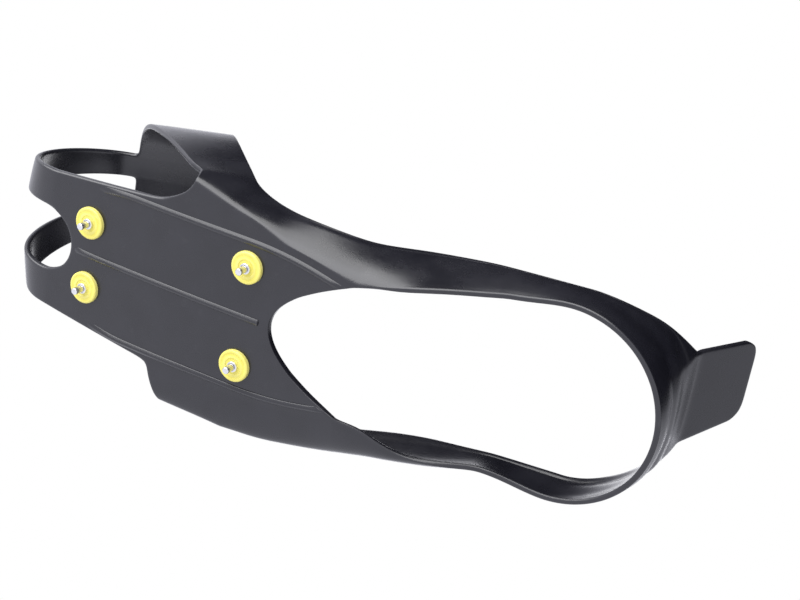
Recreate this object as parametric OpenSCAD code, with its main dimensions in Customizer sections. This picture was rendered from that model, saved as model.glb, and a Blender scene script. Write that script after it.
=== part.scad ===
// Slip-on ice cleat: a stretched rubber overshoe harness with four steel studs.
// Millimetres. +X points to the toe, +Y to the left, +Z up. The origin lies on the seat face of
// the sole plate, midway between the two rear studs.

/* [Sole plate] */
// Thickness of the sole plate
plate_t = 3.5; // [3:0.1:5]
// Half width of the sole plate at the ball
plate_half = 40; // [36:0.5:44]
// Half width of the sole plate at its front end
plate_front_half = 33.5; // [30:0.5:38]
// Distance of the plate's front end from the rear studs
plate_front_x = 108; // [102:1:116]
// Distance that the flat seat runs forward of the rear studs
seat_flat_x = 8; // [4:1:14]
// Radius of the upward curve in front of the flat seat
spring_r = 1265; // [900:5:2500]
// Width of the three ribs under the plate
rib_w = 3; // [2:0.1:5]
// Height of the three ribs under the plate
rib_h = 1; // [0.6:0.1:1.6]
// Distance of the outer ribs from the plate's side
rib_inset = 3.3; // [2.5:0.1:6]
// Distance of the outer ribs' front ends from the rear studs
rib_front_x = 88; // [70:1:95]

/* [Toe notch] */
// Half width of the notch between the toe arms
notch_half = 16; // [14:0.5:18]
// Distance of the notch's root from the rear studs
notch_x = 95; // [93:0.5:98]

/* [Heel opening] */
// Distance of the opening's front tip behind the rear studs
opening_x = 13.5; // [12:0.5:18]
// Radius of the opening's front tip
opening_r = 13; // [11:0.5:16]
// Half width of the opening where the plate ends and the rails go on
opening_half = 31.5; // [30:0.5:33]

/* [Harness] */
// Thickness of the rails, straps and bands
wall_t = 2.6; // [2:0.1:3.2]
// Half width over the ball
ball_half = 59; // [56:0.5:62]
// Half width at the rear ends of the rails
waist_half = 46.1; // [44:0.1:48]
// Height of the rim where the toe strap rises from the rails
strap_base_z = 5; // [4:0.5:7]
// Bulge of the right rail's lower corner beyond its upper rim
rail_bulge = 3; // [1:0.5:4]
// Height of the beads along the rims
bead_h = 0.7; // [0.4:0.1:1]
// Seam left between neighbouring regions of the harness
seam = 0.1; // [0.05:0.01:0.2]

/* [Toe strap] */
// Distance of the strap's front edge from the rear studs at its base
strap_front_x = 39; // [36:0.5:42]
// Distance of the strap's rear edge from the rear studs at its base
strap_rear_x = 5; // [2:0.5:8]
// Distance of the strap's front edge from the rear studs at the top
strap_top_front_x = 116; // [112:0.5:118]
// Distance of the strap's rear edge from the rear studs at the top
strap_top_rear_x = 72; // [68:0.5:76]
// Height of the strap's front edge at the top
strap_front_z = 79.5; // [74:0.5:83]
// Height of the strap's rear edge at the top
strap_rear_z = 90.5; // [85:0.5:94]
// Outward bulge of the strap halfway up
strap_bulge = 2.5; // [1:0.5:4]
// Squareness of the strap's front edge: two gives an ellipse
strap_front_square = 2.8; // [2.4:0.1:3.4]
// Squareness of the strap's rear edge: two gives an ellipse
strap_rear_square = 3.6; // [3:0.1:4.2]
// Corner radius of the side windows where the strap meets the plate
window_r = 8; // [5:0.5:10]

/* [Toe arms] */
// Furthest reach of the arms in front of the rear studs
toe_x = 138; // [134:0.5:142]
// Radius of the toe's outline, seen from above
toe_r = 69; // [60:1:90]
// Half gap between the arms where they meet the strap
arm_top_gap = 8; // [6:0.5:10]
// Width of an arm where it meets the strap
arm_top_w = 13; // [11:0.5:15]
// Fullness of the arms' lower bend
arm_full = 0.6; // [0.4:0.05:0.8]

/* [Heel band] */
// Distance of the split between rails and heel band behind the rear studs
split_x = 110; // [106:0.5:114]
// Distance of the heel's centre behind the rear studs
heel_x = 139; // [137:0.5:142]
// Radius of the lower rim round the heel
heel_r = 46; // [44:0.5:48]
// Height of the lower rim round the heel
heel_low_z = 24; // [22:0.5:26]
// Height of the band along the sides of the heel
band_h = 22; // [19:0.5:25]
// Fall of the band's lower rim from the heel to the split
band_fall = 5; // [3:0.5:7]
// Distance that the lower rim draws in from the heel to the split
band_in = 3.6; // [2.5:0.1:4.5]
// Distance that the band's upper rim stands out beyond the lower one
band_flare = 0.2; // [0:0.1:1]
// Crown of the band between its rims
band_crown = 1.2; // [0.6:0.1:1.6]
// Running gap at the split and under the tab
flex_gap = 0.3; // [0.2:0.05:0.5]

/* [Pull tab] */
// Width of the tab at its root
tab_root_w = 46; // [42:0.5:48]
// Width of the tab at its end
tab_end_w = 41; // [36:0.5:44]
// Length of the tab
tab_len = 44.5; // [38:0.5:50]
// Thickness of the tab
tab_t = 3; // [2.4:0.1:3.6]
// Lean of the tab away from upright, in degrees
tab_lean = 21; // [14:1:28]
// Corner radius at the tab's end
tab_corner_r = 9; // [5:0.5:12]
// Height of the tab's root
tab_z = 73.5; // [68:0.5:78]
// Distance of the tab's root behind the heel's centre
tab_x = 43; // [42:0.5:44]

/* [Studs] */
// Distance from the rear studs to the front studs
stud_row = 84; // [80:0.5:86]
// Distance between the two front studs
stud_front_w = 32; // [28:0.5:36]
// Distance between the two rear studs
stud_rear_w = 47.5; // [43:0.5:52]
// Diameter of the yellow disc
disc_d = 15; // [13:0.1:17]
// Thickness of the yellow disc
disc_t = 2; // [1.6:0.1:2.6]
// Radius of the disc's rounded rim
disc_rim_r = 0.8; // [0.4:0.1:1]
// Diameter of the stud's shank
pin_d = 3.2; // [2.6:0.1:3.8]
// Length of the stud below the disc
pin_out = 6; // [4:0.1:7]
// Chamfer at the stud's tip
pin_chamfer = 0.5; // [0.3:0.05:0.7]
// Diameter of the stud's flat head
head_d = 11; // [9:0.1:12]
// Thickness of the stud's flat head
head_t = 1.2; // [1:0.1:1.5]
// Diameter of the steel collar
collar_d = 5; // [4.6:0.1:6]
// Height of the steel collar
collar_h = 0.9; // [0.7:0.1:1.4]
// Radial clearance between the shank and what it passes through
pin_gap = 0.05; // [0.03:0.01:0.1]

/* [Hidden] */
$fn = 64;

rubber = [0.16, 0.16, 0.18];
yellow = [0.93, 0.86, 0.16];
steel = [0.78, 0.79, 0.8];

// Amount by which cutting shapes pass the faces that they cut
over = 1;
// Share of a wall's width that a rim's bead takes, and the bead's height at the very rim
bead_share = 0.2;
bead_edge = 0.4;

// Where the plate's tails end, on the parabola of the opening
tail_x = -opening_x - opening_half * opening_half / (2 * opening_r);
// Values at the split and at the strap's front edge
split_half = heel_r - band_in;
split_low_z = heel_low_z - band_fall;
split_top_z = split_low_z + band_h;
strap_front_half = ball_half - 1;
rail_front_x = strap_front_x + window_r;
// Half width of the notch's mouth at the plate's front end
notch_mouth = notch_half * sin(acos((notch_x + notch_half - plate_front_x) / notch_half));

// General helpers
function lerp(a, b, t) = a + (b - a) * t;
function clamp01(t) = max(0, min(1, t));
function smooth(t) = let (s = clamp01(t)) s * s * (3 - 2 * s);
function unit(v) = v / max(norm(v), 1e-9);
function flip(v) = [v[0], -v[1], v[2]];

// Smooth value at x from rows of [x, value], which rise in x
function along(rows, x, k = 0) =
    k >= len(rows) - 2 || x <= rows[k + 1][0] ?
        let (
            a = rows[max(k - 1, 0)],
            b = rows[k],
            c = rows[k + 1],
            d = rows[min(k + 2, len(rows) - 1)],
            span = c[0] - b[0],
            t = clamp01((x - b[0]) / span),
            mb = k == 0 ? (c[1] - b[1]) / span : (c[1] - a[1]) / (c[0] - a[0]),
            mc = k == len(rows) - 2 ? (c[1] - b[1]) / span : (d[1] - b[1]) / (d[0] - b[0])
        )
        b[1] * (1 + 2 * t) * (1 - t) * (1 - t) + mb * span * t * (1 - t) * (1 - t)
        + c[1] * t * t * (3 - 2 * t) + mc * span * t * t * (t - 1)
    : along(rows, x, k + 1);

// Rational quadratic curve from a to b, drawn towards the corner c by the weight w
function corner_curve(a, c, b, w, t) =
    let (p = (1 - t) * (1 - t), q = 2 * w * t * (1 - t), r = t * t)
    (p * a + q * c + r * b) / (p + q + r);

function cubic(a, b, c, d, t) =
    let (s = 1 - t)
    s * s * s * a + 3 * s * s * t * b + 3 * s * t * t * c + t * t * t * d;

// Rise of the seat face at x
function spring(x) = let (d = max(0, x - seat_flat_x)) d * d / (2 * spring_r);
function spring_slope(x) = atan(max(0, x - seat_flat_x) / spring_r);

// Unit normal of a grid of points at row i and column j
function grid_normal(g, i, j) =
    let (
        n = len(g) - 1,
        m = len(g[0]) - 1,
        du = g[min(i + 1, n)][j] - g[max(i - 1, 0)][j],
        dv = g[i][min(j + 1, m)] - g[i][max(j - 1, 0)]
    )
    unit(cross(du, dv));

// A grid moved along its normals, by a distance for each column
function thicken(g, dist) = [
    for (i = [0 : len(g) - 1]) [
        for (j = [0 : len(g[0]) - 1]) g[i][j] + grid_normal(g, i, j) * dist[j]
    ]
];

// Height of a rim's bead at the fraction t of the way in from the rim
function bead(t) = t > bead_share ? 0 : lerp(bead_edge, 1, sin(180 * t / bead_share));

// Closed solid between two grids of the same size, the first one on the outer side
module shell(outer, inner) {
    n = len(outer);
    m = len(outer[0]);
    points = concat([for (r = outer) each r], [for (r = inner) each r]);
    o = n * m;
    top = [
        for (i = [0 : n - 2], j = [0 : m - 2]) each [
            [i * m + j, (i + 1) * m + j, (i + 1) * m + j + 1],
            [i * m + j, (i + 1) * m + j + 1, i * m + j + 1]
        ]
    ];
    under = [for (f = top) [f[0] + o, f[2] + o, f[1] + o]];
    sides = [
        for (i = [0 : n - 2]) each [
            [i * m, i * m + o, (i + 1) * m + o], [i * m, (i + 1) * m + o, (i + 1) * m],
            [i * m + m - 1, (i + 1) * m + m - 1, (i + 1) * m + m - 1 + o],
            [i * m + m - 1, (i + 1) * m + m - 1 + o, i * m + m - 1 + o]
        ]
    ];
    ends = [
        for (j = [0 : m - 2], e = [0, 1]) let (b = e * (n - 1) * m + j) each (
            e == 0 ?
                [[b, b + 1, b + 1 + o], [b, b + 1 + o, b + o]]
            :
                [[b, b + 1 + o, b + 1], [b, b + o, b + 1 + o]]
        )
    ];
    polyhedron(points, [for (f = concat(top, under, sides, ends)) [f[2], f[1], f[0]]]);
}

// Sole plate

// Half width of the plate's boundary with the rails
function plate_edge(x) = plate_half - (plate_half - opening_half) * pow(clamp01(x / tail_x), 2);

edge_points = [for (k = [0 : 10]) let (x = lerp(rail_front_x, tail_x, k / 10)) [x, plate_edge(x)]];
opening_points = [
    for (k = [-10 : 10]) let (y = opening_half * k / 10) [-opening_x - y * y / (2 * opening_r), y]
];

function mirrored(points) = [for (k = [len(points) - 1 : -1 : 0]) [points[k][0], -points[k][1]]];

// Outline of the plate without its notch, seen from above
module plate_outline() {
    half = concat([[plate_front_x, plate_front_half]], edge_points);
    polygon(concat(
        half,
        [for (k = [len(opening_points) - 2 : -1 : 1]) opening_points[k]],
        mirrored(half)
    ));
}

// Slab between two depths below the curved seat face
module slab(upper, lower) {
    xs = concat([tail_x - over], [for (k = [0 : 10]) lerp(seat_flat_x, plate_front_x + over, k / 10)]);
    rotate([90, 0, 0])
        linear_extrude(height = 4 * plate_half, center = true)
            polygon(concat(
                [for (x = xs) [x, spring(x) - upper]],
                [for (k = [len(xs) - 1 : -1 : 0]) [xs[k], spring(xs[k]) - lower]]
            ));
}

// Tall column with the given outline
module pillar() {
    linear_extrude(height = 2 * plate_half, center = true)
        children();
}

// Outline of the ribs: one along the middle and one beside each edge
module rib_outline() {
    translate([-opening_x + rib_w, -rib_w / 2])
        square([notch_x - rib_w + opening_x - rib_w, rib_w]);
    rib_line = concat([[rib_front_x, plate_half]], edge_points);
    for (side = [0, 1]) mirror([0, side])
        polygon(concat(
            [for (p = rib_line) [p[0], p[1] - rib_inset]],
            [for (k = [len(rib_line) - 1 : -1 : 0]) [rib_line[k][0], rib_line[k][1] - rib_inset - rib_w]]
        ));
}

// Stands its children at a stud's seat: the plate's outer face is at z = 0 and the stud points down
module at_stud(front, side) {
    x = front ? stud_row : 0;
    y = side * (front ? stud_front_w : stud_rear_w) / 2;
    translate([x, y, spring(x)])
        rotate([0, -spring_slope(x), 0])
            translate([0, 0, -plate_t])
                children();
}

module stud_bore() {
    translate([0, 0, -over])
        cylinder(d = pin_d + 2 * pin_gap, h = plate_t + 2 * over);
    translate([0, 0, plate_t - head_t - seam])
        cylinder(d = head_d + 2 * seam, h = head_t + seam + over);
}

// Clears the ribs away from under a disc, where the studs stand wide enough to reach them
module stud_seat() {
    translate([0, 0, -2 * rib_h])
        cylinder(d = disc_d + 4 * seam, h = 2 * rib_h);
}

module sole_plate() {
    color(rubber)
        difference() {
            union() {
                intersection() {
                    slab(0, plate_t);
                    pillar() plate_outline();
                }
                intersection() {
                    slab(plate_t / 2, plate_t + rib_h);
                    pillar() intersection() {
                        plate_outline();
                        rib_outline();
                    }
                }
            }
            translate([notch_x + notch_half, 0, 0])
                cylinder(r = notch_half, h = 2 * plate_half, center = true);
            for (front = [true, false], side = [-1, 1]) at_stud(front, side) {
                stud_bore();
                stud_seat();
            }
        }
}

// Side rails

// Station of x along a rail: 0 at the strap's rear edge, 1 at the plate's tail and 2 at the split
function station(x) =
    x >= tail_x ?
        (strap_rear_x - x) / (strap_rear_x - tail_x)
    :
        1 + (tail_x - x) / (tail_x + split_x);

// Courses along a rail: rows of station and share of the way between two values
rim_course = [
    [0, 0], [0.16, 0.15], [0.32, 0.28], [0.49, 0.39], [0.65, 0.49], [0.83, 0.59],
    [1, 0.7], [1.24, 0.85], [1.48, 0.95], [1.75, 0.99], [2, 1]
];

// Courses that differ: the left rail runs narrow and upright along the arch, the right one wide and bulging
half_courses = [
    [
        [0, 0], [0.16, 0.57], [0.32, 0.91], [0.49, 1.09], [0.65, 1.23], [0.83, 1.34],
        [1, 1.35], [1.24, 1.28], [1.48, 1.21], [1.75, 1.08], [2, 1]
    ],
    [
        [0, 0], [0.16, 0.06], [0.32, 0.16], [0.49, 0.29], [0.65, 0.39], [0.83, 0.47],
        [1, 0.53], [1.24, 0.65], [1.48, 0.75], [1.75, 0.86], [2, 1]
    ]
];
bulge_courses = [
    [[0, 0], [0.3, -0.05], [1, -0.05], [2, 0]],
    [[0, 0], [0.4, 1], [1, 1], [1.45, 0.5], [2, 0]]
];
corner_courses = [
    [[0, 0], [0.6, 0], [1, 0.08], [1.24, 0.15], [1.45, 0.3], [1.72, 0.6], [2, 1]],
    [[0, 0], [0.6, 0], [1, 0.06], [1.24, 0.1], [1.45, 0.2], [1.72, 0.46], [2, 1]]
];
opening_courses = [
    [[1, 0], [1.25, 0.43], [1.43, 0.73], [1.6, 0.92], [1.75, 0.97], [2, 1]],
    [[1, 0], [1.18, 0.19], [1.3, 0.49], [1.45, 0.8], [1.62, 0.98], [1.8, 1.02], [2, 1]]
];
rise_courses = [
    [[1, 0], [1.25, 0.05], [1.43, 0.12], [1.6, 0.28], [1.75, 0.53], [1.88, 0.77], [2, 1]],
    [[1, 0], [1.18, 0.17], [1.3, 0.25], [1.45, 0.36], [1.62, 0.49], [1.8, 0.7], [2, 1]]
];
function of_side(courses, side) = courses[side > 0 ? 0 : 1];

// Pull of the section's corner: a crease under the toe strap, a soft bend from the end station on
crease_pull = 3;
bend_pull = 1;
pull_ends = [0.45, 2];

// Half width and height of the rail's upper rim
function rim_half(x, side) =
    x >= strap_rear_x ?
        lerp(ball_half, strap_front_half, clamp01((x - strap_rear_x) / (strap_front_x - strap_rear_x)))
    :
        lerp(ball_half, waist_half, along(of_side(half_courses, side), station(x)));

function rim_z(x) =
    x >= strap_rear_x ? strap_base_z : lerp(strap_base_z, split_top_z, along(rim_course, station(x)));

// Lower edge of the rail's section: along the plate, then along the opening
function rail_low(x, side) =
    x >= tail_x ?
        [x, plate_edge(x) + seam, -wall_t]
    :
        [
            x,
            lerp(opening_half + seam, split_half, along(of_side(opening_courses, side), station(x))),
            lerp(-wall_t, split_low_z, along(of_side(rise_courses, side), station(x)))
        ];

// Corner that the rail's section turns round
function rail_corner(x, side) =
    let (s = max(0, station(x)))
    [
        x,
        rim_half(x, side) + rail_bulge * along(of_side(bulge_courses, side), s),
        lerp(-wall_t, (split_low_z + split_top_z) / 2, along(of_side(corner_courses, side), s))
    ];

function rail_point(x, t, side) =
    corner_curve(
        rail_low(x, side),
        rail_corner(x, side),
        [x, rim_half(x, side), rim_z(x)],
        lerp(crease_pull, bend_pull, smooth(station(x) / of_side(pull_ends, side))),
        t
    );

rail_columns = [0, 0.06, 0.14, 0.26, 0.38, 0.5, 0.62, 0.74, 0.86, 0.94, 1];
rail_last = len(rail_columns) - 1;
// Rows from the front end, which is rounded into the plate's edge, over strap, waist and opening
strap_rows = 7;
waist_rows = 10;
opening_rows = 10;
rail_rows = strap_rows + waist_rows + opening_rows;

function rail_x(i, t) =
    i <= strap_rows ?
        lerp(strap_front_x + window_r * pow(1 - t, 3), strap_rear_x, i / strap_rows)
    : i <= strap_rows + waist_rows ?
        lerp(strap_rear_x, tail_x, (i - strap_rows) / waist_rows)
    :
        lerp(tail_x, -split_x + flex_gap / 2, (i - strap_rows - waist_rows) / opening_rows);

// Outer surface: the bead grows along the rim behind the strap
function rail_outer_point(a, beaded, j) =
    let (p = lerp(a, beaded, smooth(2 * station(a[0]))))
    [a[0], p[1], j == rail_last ? a[2] : p[2]];

// Inner surface: its rim stays level, it stands upright against the plate and never leans over it
function rail_inner_point(a, thin, j) =
    j == 0 && a[0] >= tail_x ?
        [a[0], a[1], a[2] + wall_t]
    :
        [
            a[0],
            a[0] >= tail_x ? max(thin[1], plate_edge(a[0]) + (1 + j) * seam) : thin[1],
            j == rail_last ? a[2] : thin[2]
        ];

module side_rail(side) {
    form = [for (i = [0 : rail_rows]) [for (t = rail_columns) rail_point(rail_x(i, t), t, side)]];
    beaded = thicken(form, [for (t = rail_columns) bead_h * bead(1 - t)]);
    thin = thicken(form, [for (t = rail_columns) -wall_t]);
    color(rubber)
        mirror([0, side < 0 ? 1 : 0, 0])
            shell(
                [
                    for (i = [0 : rail_rows])
                        [for (j = [0 : rail_last]) rail_outer_point(form[i][j], beaded[i][j], j)]
                ],
                [
                    for (i = [0 : rail_rows])
                        [for (j = [0 : rail_last]) rail_inner_point(form[i][j], thin[i][j], j)]
                ]
            );
}

// Toe strap

// Height share of a squared ellipse at the width share out
function square_share(out, square) = pow(1 - pow(out, square), 1 / square);

// Point on the strap's outer surface: a runs from the left base to the right one, w from front to rear
function strap_point(a, w) =
    let (
        square = lerp(strap_front_square, strap_rear_square, w),
        up = pow(abs(sin(a)), 2 / square),
        out = pow(abs(cos(a)), 2 / square) * (a > 90 ? -1 : 1)
    )
    [
        lerp(lerp(strap_front_x, strap_rear_x, w), lerp(strap_top_front_x, strap_top_rear_x, w), up),
        (lerp(strap_front_half, ball_half, w) + 2 * strap_bulge * up) * out,
        lerp(strap_base_z + seam, lerp(strap_front_z, strap_rear_z, w), up)
    ];

strap_columns = [1, 0.96, 0.9, 0.75, 0.5, 0.25, 0.1, 0.04, 0];
// Steps over the strap, closer together towards its bases
strap_steps = 36;
strap_angles = [
    for (k = [0 : strap_steps])
        let (t = 2 * k / strap_steps - 1)
        90 + 90 * sign(t) * pow(abs(t), 0.8)
];

module toe_strap() {
    outer = [for (a = strap_angles) [for (w = strap_columns) strap_point(a, w)]];
    raw = thicken(outer, [for (w = strap_columns) -wall_t]);
    n = len(outer) - 1;
    inner = [
        for (i = [0 : n]) [
            for (j = [0 : len(strap_columns) - 1])
                i == 0 || i == n ? [raw[i][j][0], raw[i][j][1], outer[i][j][2]] : raw[i][j]
        ]
    ];
    color(rubber)
        shell(outer, inner);
}

// Toe arms

// Point on the left arm's outer surface: u runs from the inner to the outer edge, v from plate to strap
function arm_point(u, v) =
    let (
        top_y = arm_top_gap + arm_top_w * u,
        y = lerp(lerp(notch_mouth, plate_front_half, u), top_y, smooth(v)),
        reach = toe_x - y * y / (2 * toe_r),
        up = square_share(top_y / (strap_front_half + 2 * strap_bulge), strap_front_square),
        top_x = lerp(strap_front_x, strap_top_front_x, up) + seam,
        top_z = lerp(strap_base_z + seam, strap_front_z, up),
        fall = (strap_rear_z - strap_front_z) / (strap_top_front_x - strap_top_rear_x),
        start_x = plate_front_x + seam,
        start_z = spring(plate_front_x) - wall_t,
        low_x = reach + arm_full * (toe_x - plate_front_x),
        p = cubic(
            [start_x, start_z],
            [low_x, start_z + tan(spring_slope(plate_front_x)) * (low_x - start_x)],
            [reach, top_z - fall * (reach - top_x)],
            [top_x, top_z],
            v
        )
    )
    [p[0], y, p[1]];

arm_columns = [1, 0.88, 0.7, 0.5, 0.3, 0.12, 0];
arm_steps = 18;
arm_rows = [for (k = [0 : arm_steps]) k / arm_steps];

module toe_arm(side) {
    outer = [for (v = arm_rows) [for (u = arm_columns) arm_point(u, v)]];
    raw = thicken(outer, [for (u = arm_columns) -wall_t]);
    n = len(outer) - 1;
    inner = [
        for (i = [0 : n]) [
            for (j = [0 : len(arm_columns) - 1])
                i == 0 || i == n ? [outer[i][j][0], raw[i][j][1], raw[i][j][2]] : raw[i][j]
        ]
    ];
    color(rubber)
        mirror([0, side < 0 ? 1 : 0, 0])
            shell(outer, inner);
}

// Heel band

heel_top_z = heel_low_z + band_h;
// Straight run from the split to the heel's round, and the whole run to the middle of the back
heel_straight = heel_x - split_x - flex_gap / 2;
heel_run = heel_straight + heel_r * PI / 2;
// Height of the rim below the tab, and the tab's root corner, seen from the heel's centre
tab_rim_z = tab_z - tab_t / 2 - flex_gap;
root_reach = norm([tab_x, tab_root_w / 2]);
root_angle = asin(tab_x / root_reach);

// Turn round the heel at the distance s from the split, in degrees
function heel_angle(s) = (s - heel_straight) / heel_r * 180 / PI;

// Lower and upper rim of the band's left half at the distance s from the split
function heel_low(s) =
    s < heel_straight ?
        let (t = s / heel_straight)
        [
            -split_x - flex_gap / 2 - s,
            lerp(split_half, heel_r, smooth(t)),
            lerp(split_low_z, heel_low_z, sin(90 * t))
        ]
    :
        let (a = heel_angle(s))
        [-heel_x - heel_r * sin(a), heel_r * cos(a), heel_low_z];

function heel_high(s) =
    let (r = heel_r + band_flare, a = heel_angle(s), k = clamp01(a / root_angle))
    s < heel_straight ?
        let (t = s / heel_straight)
        [-split_x - flex_gap / 2 - s, lerp(waist_half, r, smooth(t)), lerp(split_top_z, heel_top_z, t)]
    : a < root_angle ?
        let (reach = lerp(r, root_reach, smooth(k)))
        [-heel_x - reach * sin(a), reach * cos(a), lerp(heel_top_z, tab_rim_z, k * k)]
    :
        [-heel_x - tab_x, tab_root_w / 2 * (90 - a) / (90 - root_angle), tab_rim_z];

// Wall of the band from the lower to the upper rim, with a slight crown
function heel_point(s, t) =
    let (a = heel_low(s), out = unit([min(0, a[0] + heel_x), a[1], 0]))
    lerp(a, heel_high(s), t) + out * 4 * t * (1 - t) * band_crown;

heel_columns = [0, 0.05, 0.12, 0.25, 0.4, 0.6, 0.75, 0.88, 0.95, 1];
heel_steps = 22;
heel_distances = [for (k = [0 : heel_steps]) heel_run * k / heel_steps];

// A moved grid whose end rows keep the form's x and whose rims keep its z
function level_rims(form, moved) =
    let (n = len(form) - 1, m = len(form[0]) - 1)
    [
        for (i = [0 : n]) [
            for (j = [0 : m])
                [
                    i == 0 || i == n ? form[i][j][0] : moved[i][j][0],
                    moved[i][j][1],
                    j == 0 || j == m ? form[i][j][2] : moved[i][j][2]
                ]
        ]
    ];

module heel_band() {
    left = [for (s = heel_distances) [for (t = heel_columns) heel_point(s, t)]];
    right = [for (k = [len(left) - 2 : -1 : 0]) [for (p = left[k]) flip(p)]];
    form = concat(left, right);
    color(rubber)
        shell(
            level_rims(form, thicken(form, [for (t = heel_columns) bead_h * max(bead(t), bead(1 - t))])),
            level_rims(form, thicken(form, [for (t = heel_columns) -wall_t]))
        );
}

// Pull tab

// Outline of the tab, whose sides run from the root's corners to the round corners at the end
module tab_outline() {
    corner = [tab_end_w / 2 - tab_corner_r, tab_len - tab_corner_r];
    reach = [tab_root_w / 2 - corner[0], corner[1]];
    turn = acos(tab_corner_r / norm(reach)) - atan2(reach[1], reach[0]);
    side = corner + tab_corner_r * [cos(turn), sin(turn)];
    polygon([
        [-tab_root_w / 2, 0],
        [tab_root_w / 2, 0],
        side,
        [corner[0], tab_len],
        [-corner[0], tab_len],
        [-side[0], side[1]]
    ]);
    for (s = [-1, 1])
        translate([s * corner[0], corner[1]])
            circle(r = tab_corner_r);
}

module pull_tab() {
    color(rubber)
        translate([-heel_x - tab_x + wall_t / 2, 0, tab_z])
            rotate([0, -tab_lean, 0]) {
                rotate([90, 0, 90])
                    linear_extrude(height = tab_t, center = true)
                        tab_outline();
                rotate([90, 0, 0])
                    cylinder(d = tab_t, h = tab_root_w, center = true);
            }
}

// Studs

module stud_pin(front, side) {
    shank = plate_t - head_t + disc_t + pin_out;
    color(steel)
        at_stud(front, side) {
            translate([0, 0, plate_t - head_t])
                cylinder(d = head_d, h = head_t);
            translate([0, 0, plate_t - head_t - shank + pin_chamfer])
                cylinder(d = pin_d, h = shank - pin_chamfer);
            translate([0, 0, plate_t - head_t - shank])
                cylinder(d1 = pin_d - 2 * pin_chamfer, d2 = pin_d, h = pin_chamfer);
        }
}

module stud_disc(front, side) {
    r = disc_d / 2;
    bore = pin_d / 2 + pin_gap;
    color(yellow)
        at_stud(front, side)
            translate([0, 0, -disc_t])
                difference() {
                    union() {
                        translate([0, 0, disc_rim_r])
                            cylinder(r = r, h = disc_t - disc_rim_r);
                        cylinder(r = r - disc_rim_r, h = disc_t);
                        translate([0, 0, disc_rim_r])
                            rotate_extrude()
                                translate([r - disc_rim_r, 0])
                                    circle(r = disc_rim_r);
                    }
                    translate([0, 0, -over])
                        cylinder(r = bore, h = disc_t + 2 * over);
                }
}

module stud_collar(front, side) {
    color(steel)
        at_stud(front, side)
            translate([0, 0, -disc_t - collar_h])
                difference() {
                    cylinder(d = collar_d, h = collar_h);
                    translate([0, 0, -over])
                        cylinder(d = pin_d + 2 * pin_gap, h = collar_h + 2 * over);
                }
}

sole_plate();
side_rail(1);  // left_side_rail
side_rail(-1);  // right_side_rail
toe_strap();
toe_arm(1);  // left_toe_arm
toe_arm(-1);  // right_toe_arm
heel_band();
pull_tab();
stud_pin(true, 1);  // front_left_stud_pin
stud_disc(true, 1);  // front_left_stud_disc
stud_collar(true, 1);  // front_left_stud_collar
stud_pin(true, -1);  // front_right_stud_pin
stud_disc(true, -1);  // front_right_stud_disc
stud_collar(true, -1);  // front_right_stud_collar
stud_pin(false, 1);  // rear_left_stud_pin
stud_disc(false, 1);  // rear_left_stud_disc
stud_collar(false, 1);  // rear_left_stud_collar
stud_pin(false, -1);  // rear_right_stud_pin
stud_disc(false, -1);  // rear_right_stud_disc
stud_collar(false, -1);  // rear_right_stud_collar
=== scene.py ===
"""Looks of a slip-on ice cleat: a stretched rubber harness with four steel studs on yellow discs."""

import logging
import math
from dataclasses import dataclass, field
from enum import Enum
from typing import Callable, Optional, Sequence

import bmesh
import bpy
from mathutils import Matrix, Vector


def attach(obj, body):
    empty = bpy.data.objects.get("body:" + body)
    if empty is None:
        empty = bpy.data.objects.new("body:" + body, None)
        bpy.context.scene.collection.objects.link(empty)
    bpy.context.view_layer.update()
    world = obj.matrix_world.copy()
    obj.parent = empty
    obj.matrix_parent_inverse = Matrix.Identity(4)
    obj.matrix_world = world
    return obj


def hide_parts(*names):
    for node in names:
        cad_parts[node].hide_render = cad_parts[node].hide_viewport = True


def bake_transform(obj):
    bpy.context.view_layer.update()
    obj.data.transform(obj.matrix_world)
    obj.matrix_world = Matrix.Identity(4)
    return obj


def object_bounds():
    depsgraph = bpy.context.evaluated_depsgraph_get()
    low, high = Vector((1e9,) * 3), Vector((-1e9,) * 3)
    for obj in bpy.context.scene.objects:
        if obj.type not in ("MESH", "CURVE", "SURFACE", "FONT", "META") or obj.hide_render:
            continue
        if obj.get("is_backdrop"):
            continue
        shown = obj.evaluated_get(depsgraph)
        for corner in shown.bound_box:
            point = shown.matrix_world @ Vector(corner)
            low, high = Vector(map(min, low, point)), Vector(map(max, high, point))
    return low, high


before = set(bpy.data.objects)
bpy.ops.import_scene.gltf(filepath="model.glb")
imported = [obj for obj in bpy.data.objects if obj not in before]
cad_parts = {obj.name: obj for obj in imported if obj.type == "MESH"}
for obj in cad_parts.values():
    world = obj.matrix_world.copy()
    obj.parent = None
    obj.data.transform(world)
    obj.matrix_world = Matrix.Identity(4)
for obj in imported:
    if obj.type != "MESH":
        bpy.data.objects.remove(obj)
CAD_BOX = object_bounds()

LOG = logging.getLogger("ice_cleat")
MM = 0.001
TINY = 1e-6

# Share from which a point counts as wholly in a vertex group, and a face as level
WHOLE = 0.99

# Line along the inside of the harness, which its outer face looks away from, in metres
INSIDE_REAR = -0.14
INSIDE_FRONT = 0.08
INSIDE_Z = 0.03

Span = tuple[float, float]
Course = Sequence[Span]
Colour = tuple[float, float, float, float]
Grid = list[list[Vector]]
Place = tuple[float, float, float]
Socket = str | int
FaceTest = Callable[[bmesh.types.BMFace], bool]
EdgeTest = Callable[[bmesh.types.BMEdge], bool]


class Body(Enum):
    """Bodies of the frame that pieces ride on."""

    FOREFOOT = "forefoot"
    HEEL = "heel"
    TAB = "tab"


class Slot(Enum):
    """Material slots."""

    RUBBER = "rubber"
    STEEL = "stud_steel"
    DISC = "stud_disc"


class Side(Enum):
    """Sides of the harness, as the sign of Y."""

    LEFT = 1
    RIGHT = -1


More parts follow.
